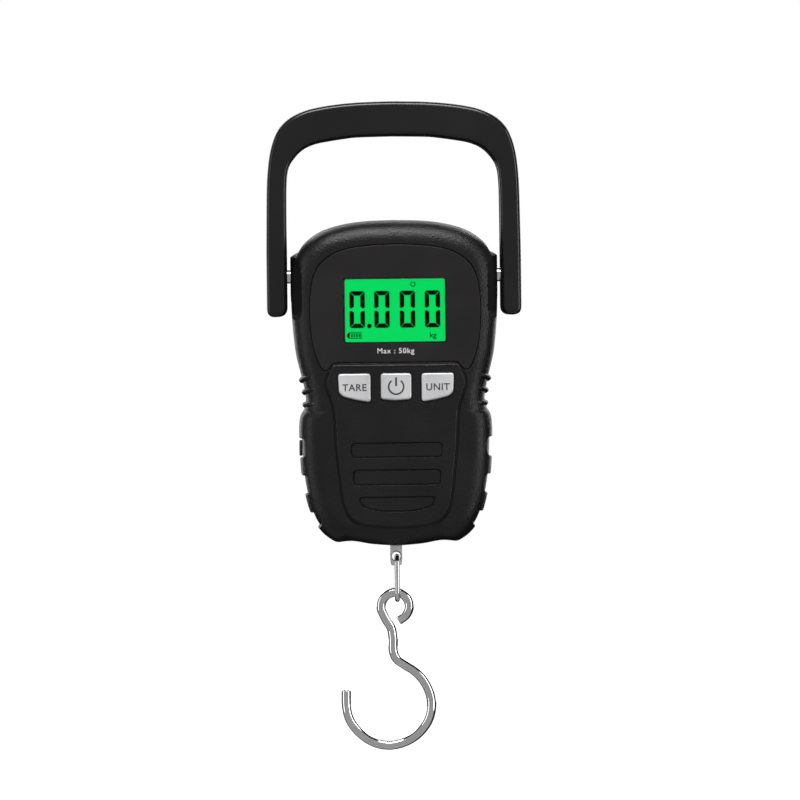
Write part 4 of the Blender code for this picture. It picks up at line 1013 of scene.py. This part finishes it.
def cross_slot(bm, x, z, turn, top):
    """One slot of a screw's cross, turned about the screw's axis."""
    corners = ((-1.2, -0.24), (1.2, -0.24), (1.2, 0.24), (-1.2, 0.24))
    c, s = math.cos(turn), math.sin(turn)
    cut = [(x + u * c - v * s, z + u * s + v * c) for u, v in corners]
    levels(bm, cut, [(0, top + 1), (0, top - 0.3), (-0.12, top - 1.0)])


for number, (x, z) in enumerate(SCREWS, 1):
    name = f"shell_screw_{number}"
    foot, top = (end.y for end in box_mm(name))
    profile = [
        (foot, 0.4), (foot + 1, 1.0), (top - 1.75, 1.0), (top - 1.75, 2.1), (top - 0.6, 2.1),
        (top - 0.3, 1.95), (top - 0.08, 1.6), (top, 1.1),
    ]
    screw = mesh_from("screw", drawn(turned, "Y", (x, z), profile), 40)
    for turn in (0, math.pi / 2):
        screw = carve(screw, drawn(cross_slot, x, z, turn, top))
    piece(f"case_screw_{number}", finished(screw, 35), SLOT_LOOKS["steel"], "housing", "steel", name)

low, high = box_mm("tape_tab")
tab = rounded(low.y, high.y, low.z, high.z, (high.z - low.z) / 2 - 0.01, 10)
tab_steps = [(-0.3, low.x), (-0.09, low.x + 0.09), (0, low.x + 0.3), (0, high.x + 0.22)]
tab = mesh_from("tab", drawn(levels, tab, tab_steps, axis="X"))
weigh(piece("tape_pull", finished(tab), SLOT_LOOKS["black_plastic"], "tape", "black_plastic", "tape_tab"))

# ================================================================ floor, light and camera
FLOOR_HALF = 6
FLOOR_DROP = 0.09

floor_data = bpy.data.meshes.new("floor")
corners = ((-1, -1), (1, -1), (1, 1), (-1, 1))
floor_z = cad_low.z - FLOOR_DROP
floor_data.from_pydata([(FLOOR_HALF * x, FLOOR_HALF * y, floor_z) for x, y in corners], [], [(0, 1, 2, 3)])
floor = bpy.data.objects.new("floor", floor_data)
bpy.context.scene.collection.objects.link(floor)
floor_look = look("pale_floor", (0.9, 0.9, 0.9), 0.8, Emission_Color=(1, 1, 1, 1), Emission_Strength=1.0)
floor_data.materials.append(floor_look)
floor.visible_glossy = False
floor.visible_diffuse = False


def studio(dark_way, stops):
    """White behind the scale, and for its reflections a grey that falls to dark towards dark_way.

    stops are (place, grey) pairs, where place is 0 opposite to dark_way and 1 along it.
    """
    world = bpy.data.worlds.new("studio")
    bpy.context.scene.world = world
    world.use_nodes = True
    nodes, links = world.node_tree.nodes, world.node_tree.links
    shade = nodes["Background"]
    backdrop = nodes.new("ShaderNodeBackground")
    backdrop.inputs["Color"].default_value = (1, 1, 1, 1)
    path = nodes.new("ShaderNodeLightPath")
    mix = nodes.new("ShaderNodeMixShader")
    place = nodes.new("ShaderNodeTexCoord")
    ramp = nodes.new("ShaderNodeValToRGB")
    rescale = nodes.new("ShaderNodeMapRange")
    rescale.inputs["From Min"].default_value = -1.0
    tilt = nodes.new("ShaderNodeVectorMath")
    tilt.operation = "DOT_PRODUCT"
    tilt.inputs[1].default_value = dark_way
    links.new(place.outputs["Generated"], tilt.inputs[0])
    links.new(tilt.outputs["Value"], rescale.inputs["Value"])
    links.new(rescale.outputs["Result"], ramp.inputs["Fac"])
    ramp.color_ramp.elements[0].position = stops[0][0]
    ramp.color_ramp.elements[1].position = stops[-1][0]
    for spot, _ in stops[1:-1]:
        ramp.color_ramp.elements.new(spot)
    for element, (spot, value) in zip(ramp.color_ramp.elements, stops):
        element.position = spot
        element.color = (value, value, value, 1.0)
    links.new(ramp.outputs["Color"], shade.inputs["Color"])
    links.new(path.outputs["Is Camera Ray"], mix.inputs["Fac"])
    links.new(shade.outputs["Background"], mix.inputs[1])
    links.new(backdrop.outputs["Background"], mix.inputs[2])
    links.new(mix.outputs["Shader"], nodes["World Output"].inputs["Surface"])


def softbox(name, turn, rise, distance, wide, tall, radiance):
    """An area light that faces the scale.

    turn is to the right of the camera and rise above it, both in degrees.
    """
    a, e = math.radians(turn), math.radians(rise)
    away = Vector((math.sin(a) * math.cos(e), -math.cos(a) * math.cos(e), math.sin(e)))
    data = bpy.data.lights.new(name, "AREA")
    data.shape = "RECTANGLE"
    data.size = wide
    data.size_y = tall
    data.energy = radiance * math.pi * wide * tall
    made = bpy.data.objects.new(name, data)
    bpy.context.scene.collection.objects.link(made)
    made.location = (cad_low + cad_high) / 2 + away * distance
    made.rotation_mode = "QUATERNION"
    made.rotation_quaternion = away.to_track_quat("Z", "Y")


studio((0.33, 0.86, 0.38), ((0.0, 0.38), (0.36, 0.42), (0.43, 0.34), (0.48, 0.02), (1.0, 0.03)))
softbox("top_light", 0, 62, 0.9, 0.62, 0.34, 11.5)
softbox("back_light", 180, 42, 0.9, 1.4, 0.3, 2.6)
softbox("rear_right_light", 148, 18, 1.0, 0.5, 0.9, 2.2)
softbox("rear_left_light", -148, 18, 1.0, 0.5, 0.9, 1.8)
softbox("right_light", 60, 8, 0.9, 0.2, 0.8, 5.0)
softbox("left_light", -74, 5, 0.9, 0.16, 0.8, 3.0)

AIM = Vector((0.0018, 0, -0.0986))
YAW, ROLL, DISTANCE = math.radians(-1.5), math.radians(0.65), 2.4
camera_data = bpy.data.cameras.new("camera")
camera_data.lens = 292.0
camera_data.sensor_width = 36.0
camera_data.clip_start = 0.01
camera = bpy.data.objects.new("camera", camera_data)
bpy.context.scene.collection.objects.link(camera)
level = Vector((math.cos(YAW), math.sin(YAW), 0))
back = Vector((math.sin(YAW), -math.cos(YAW), 0))
right = level * math.cos(ROLL) - Vector((0, 0, math.sin(ROLL)))
up = level * math.sin(ROLL) + Vector((0, 0, math.cos(ROLL)))
eye_at = AIM + back * DISTANCE
camera.matrix_world = Matrix([(right[i], up[i], back[i], eye_at[i]) for i in range(3)] + [(0, 0, 0, 1)])
bpy.context.scene.camera = camera
bpy.context.scene.view_settings.view_transform = "Standard"
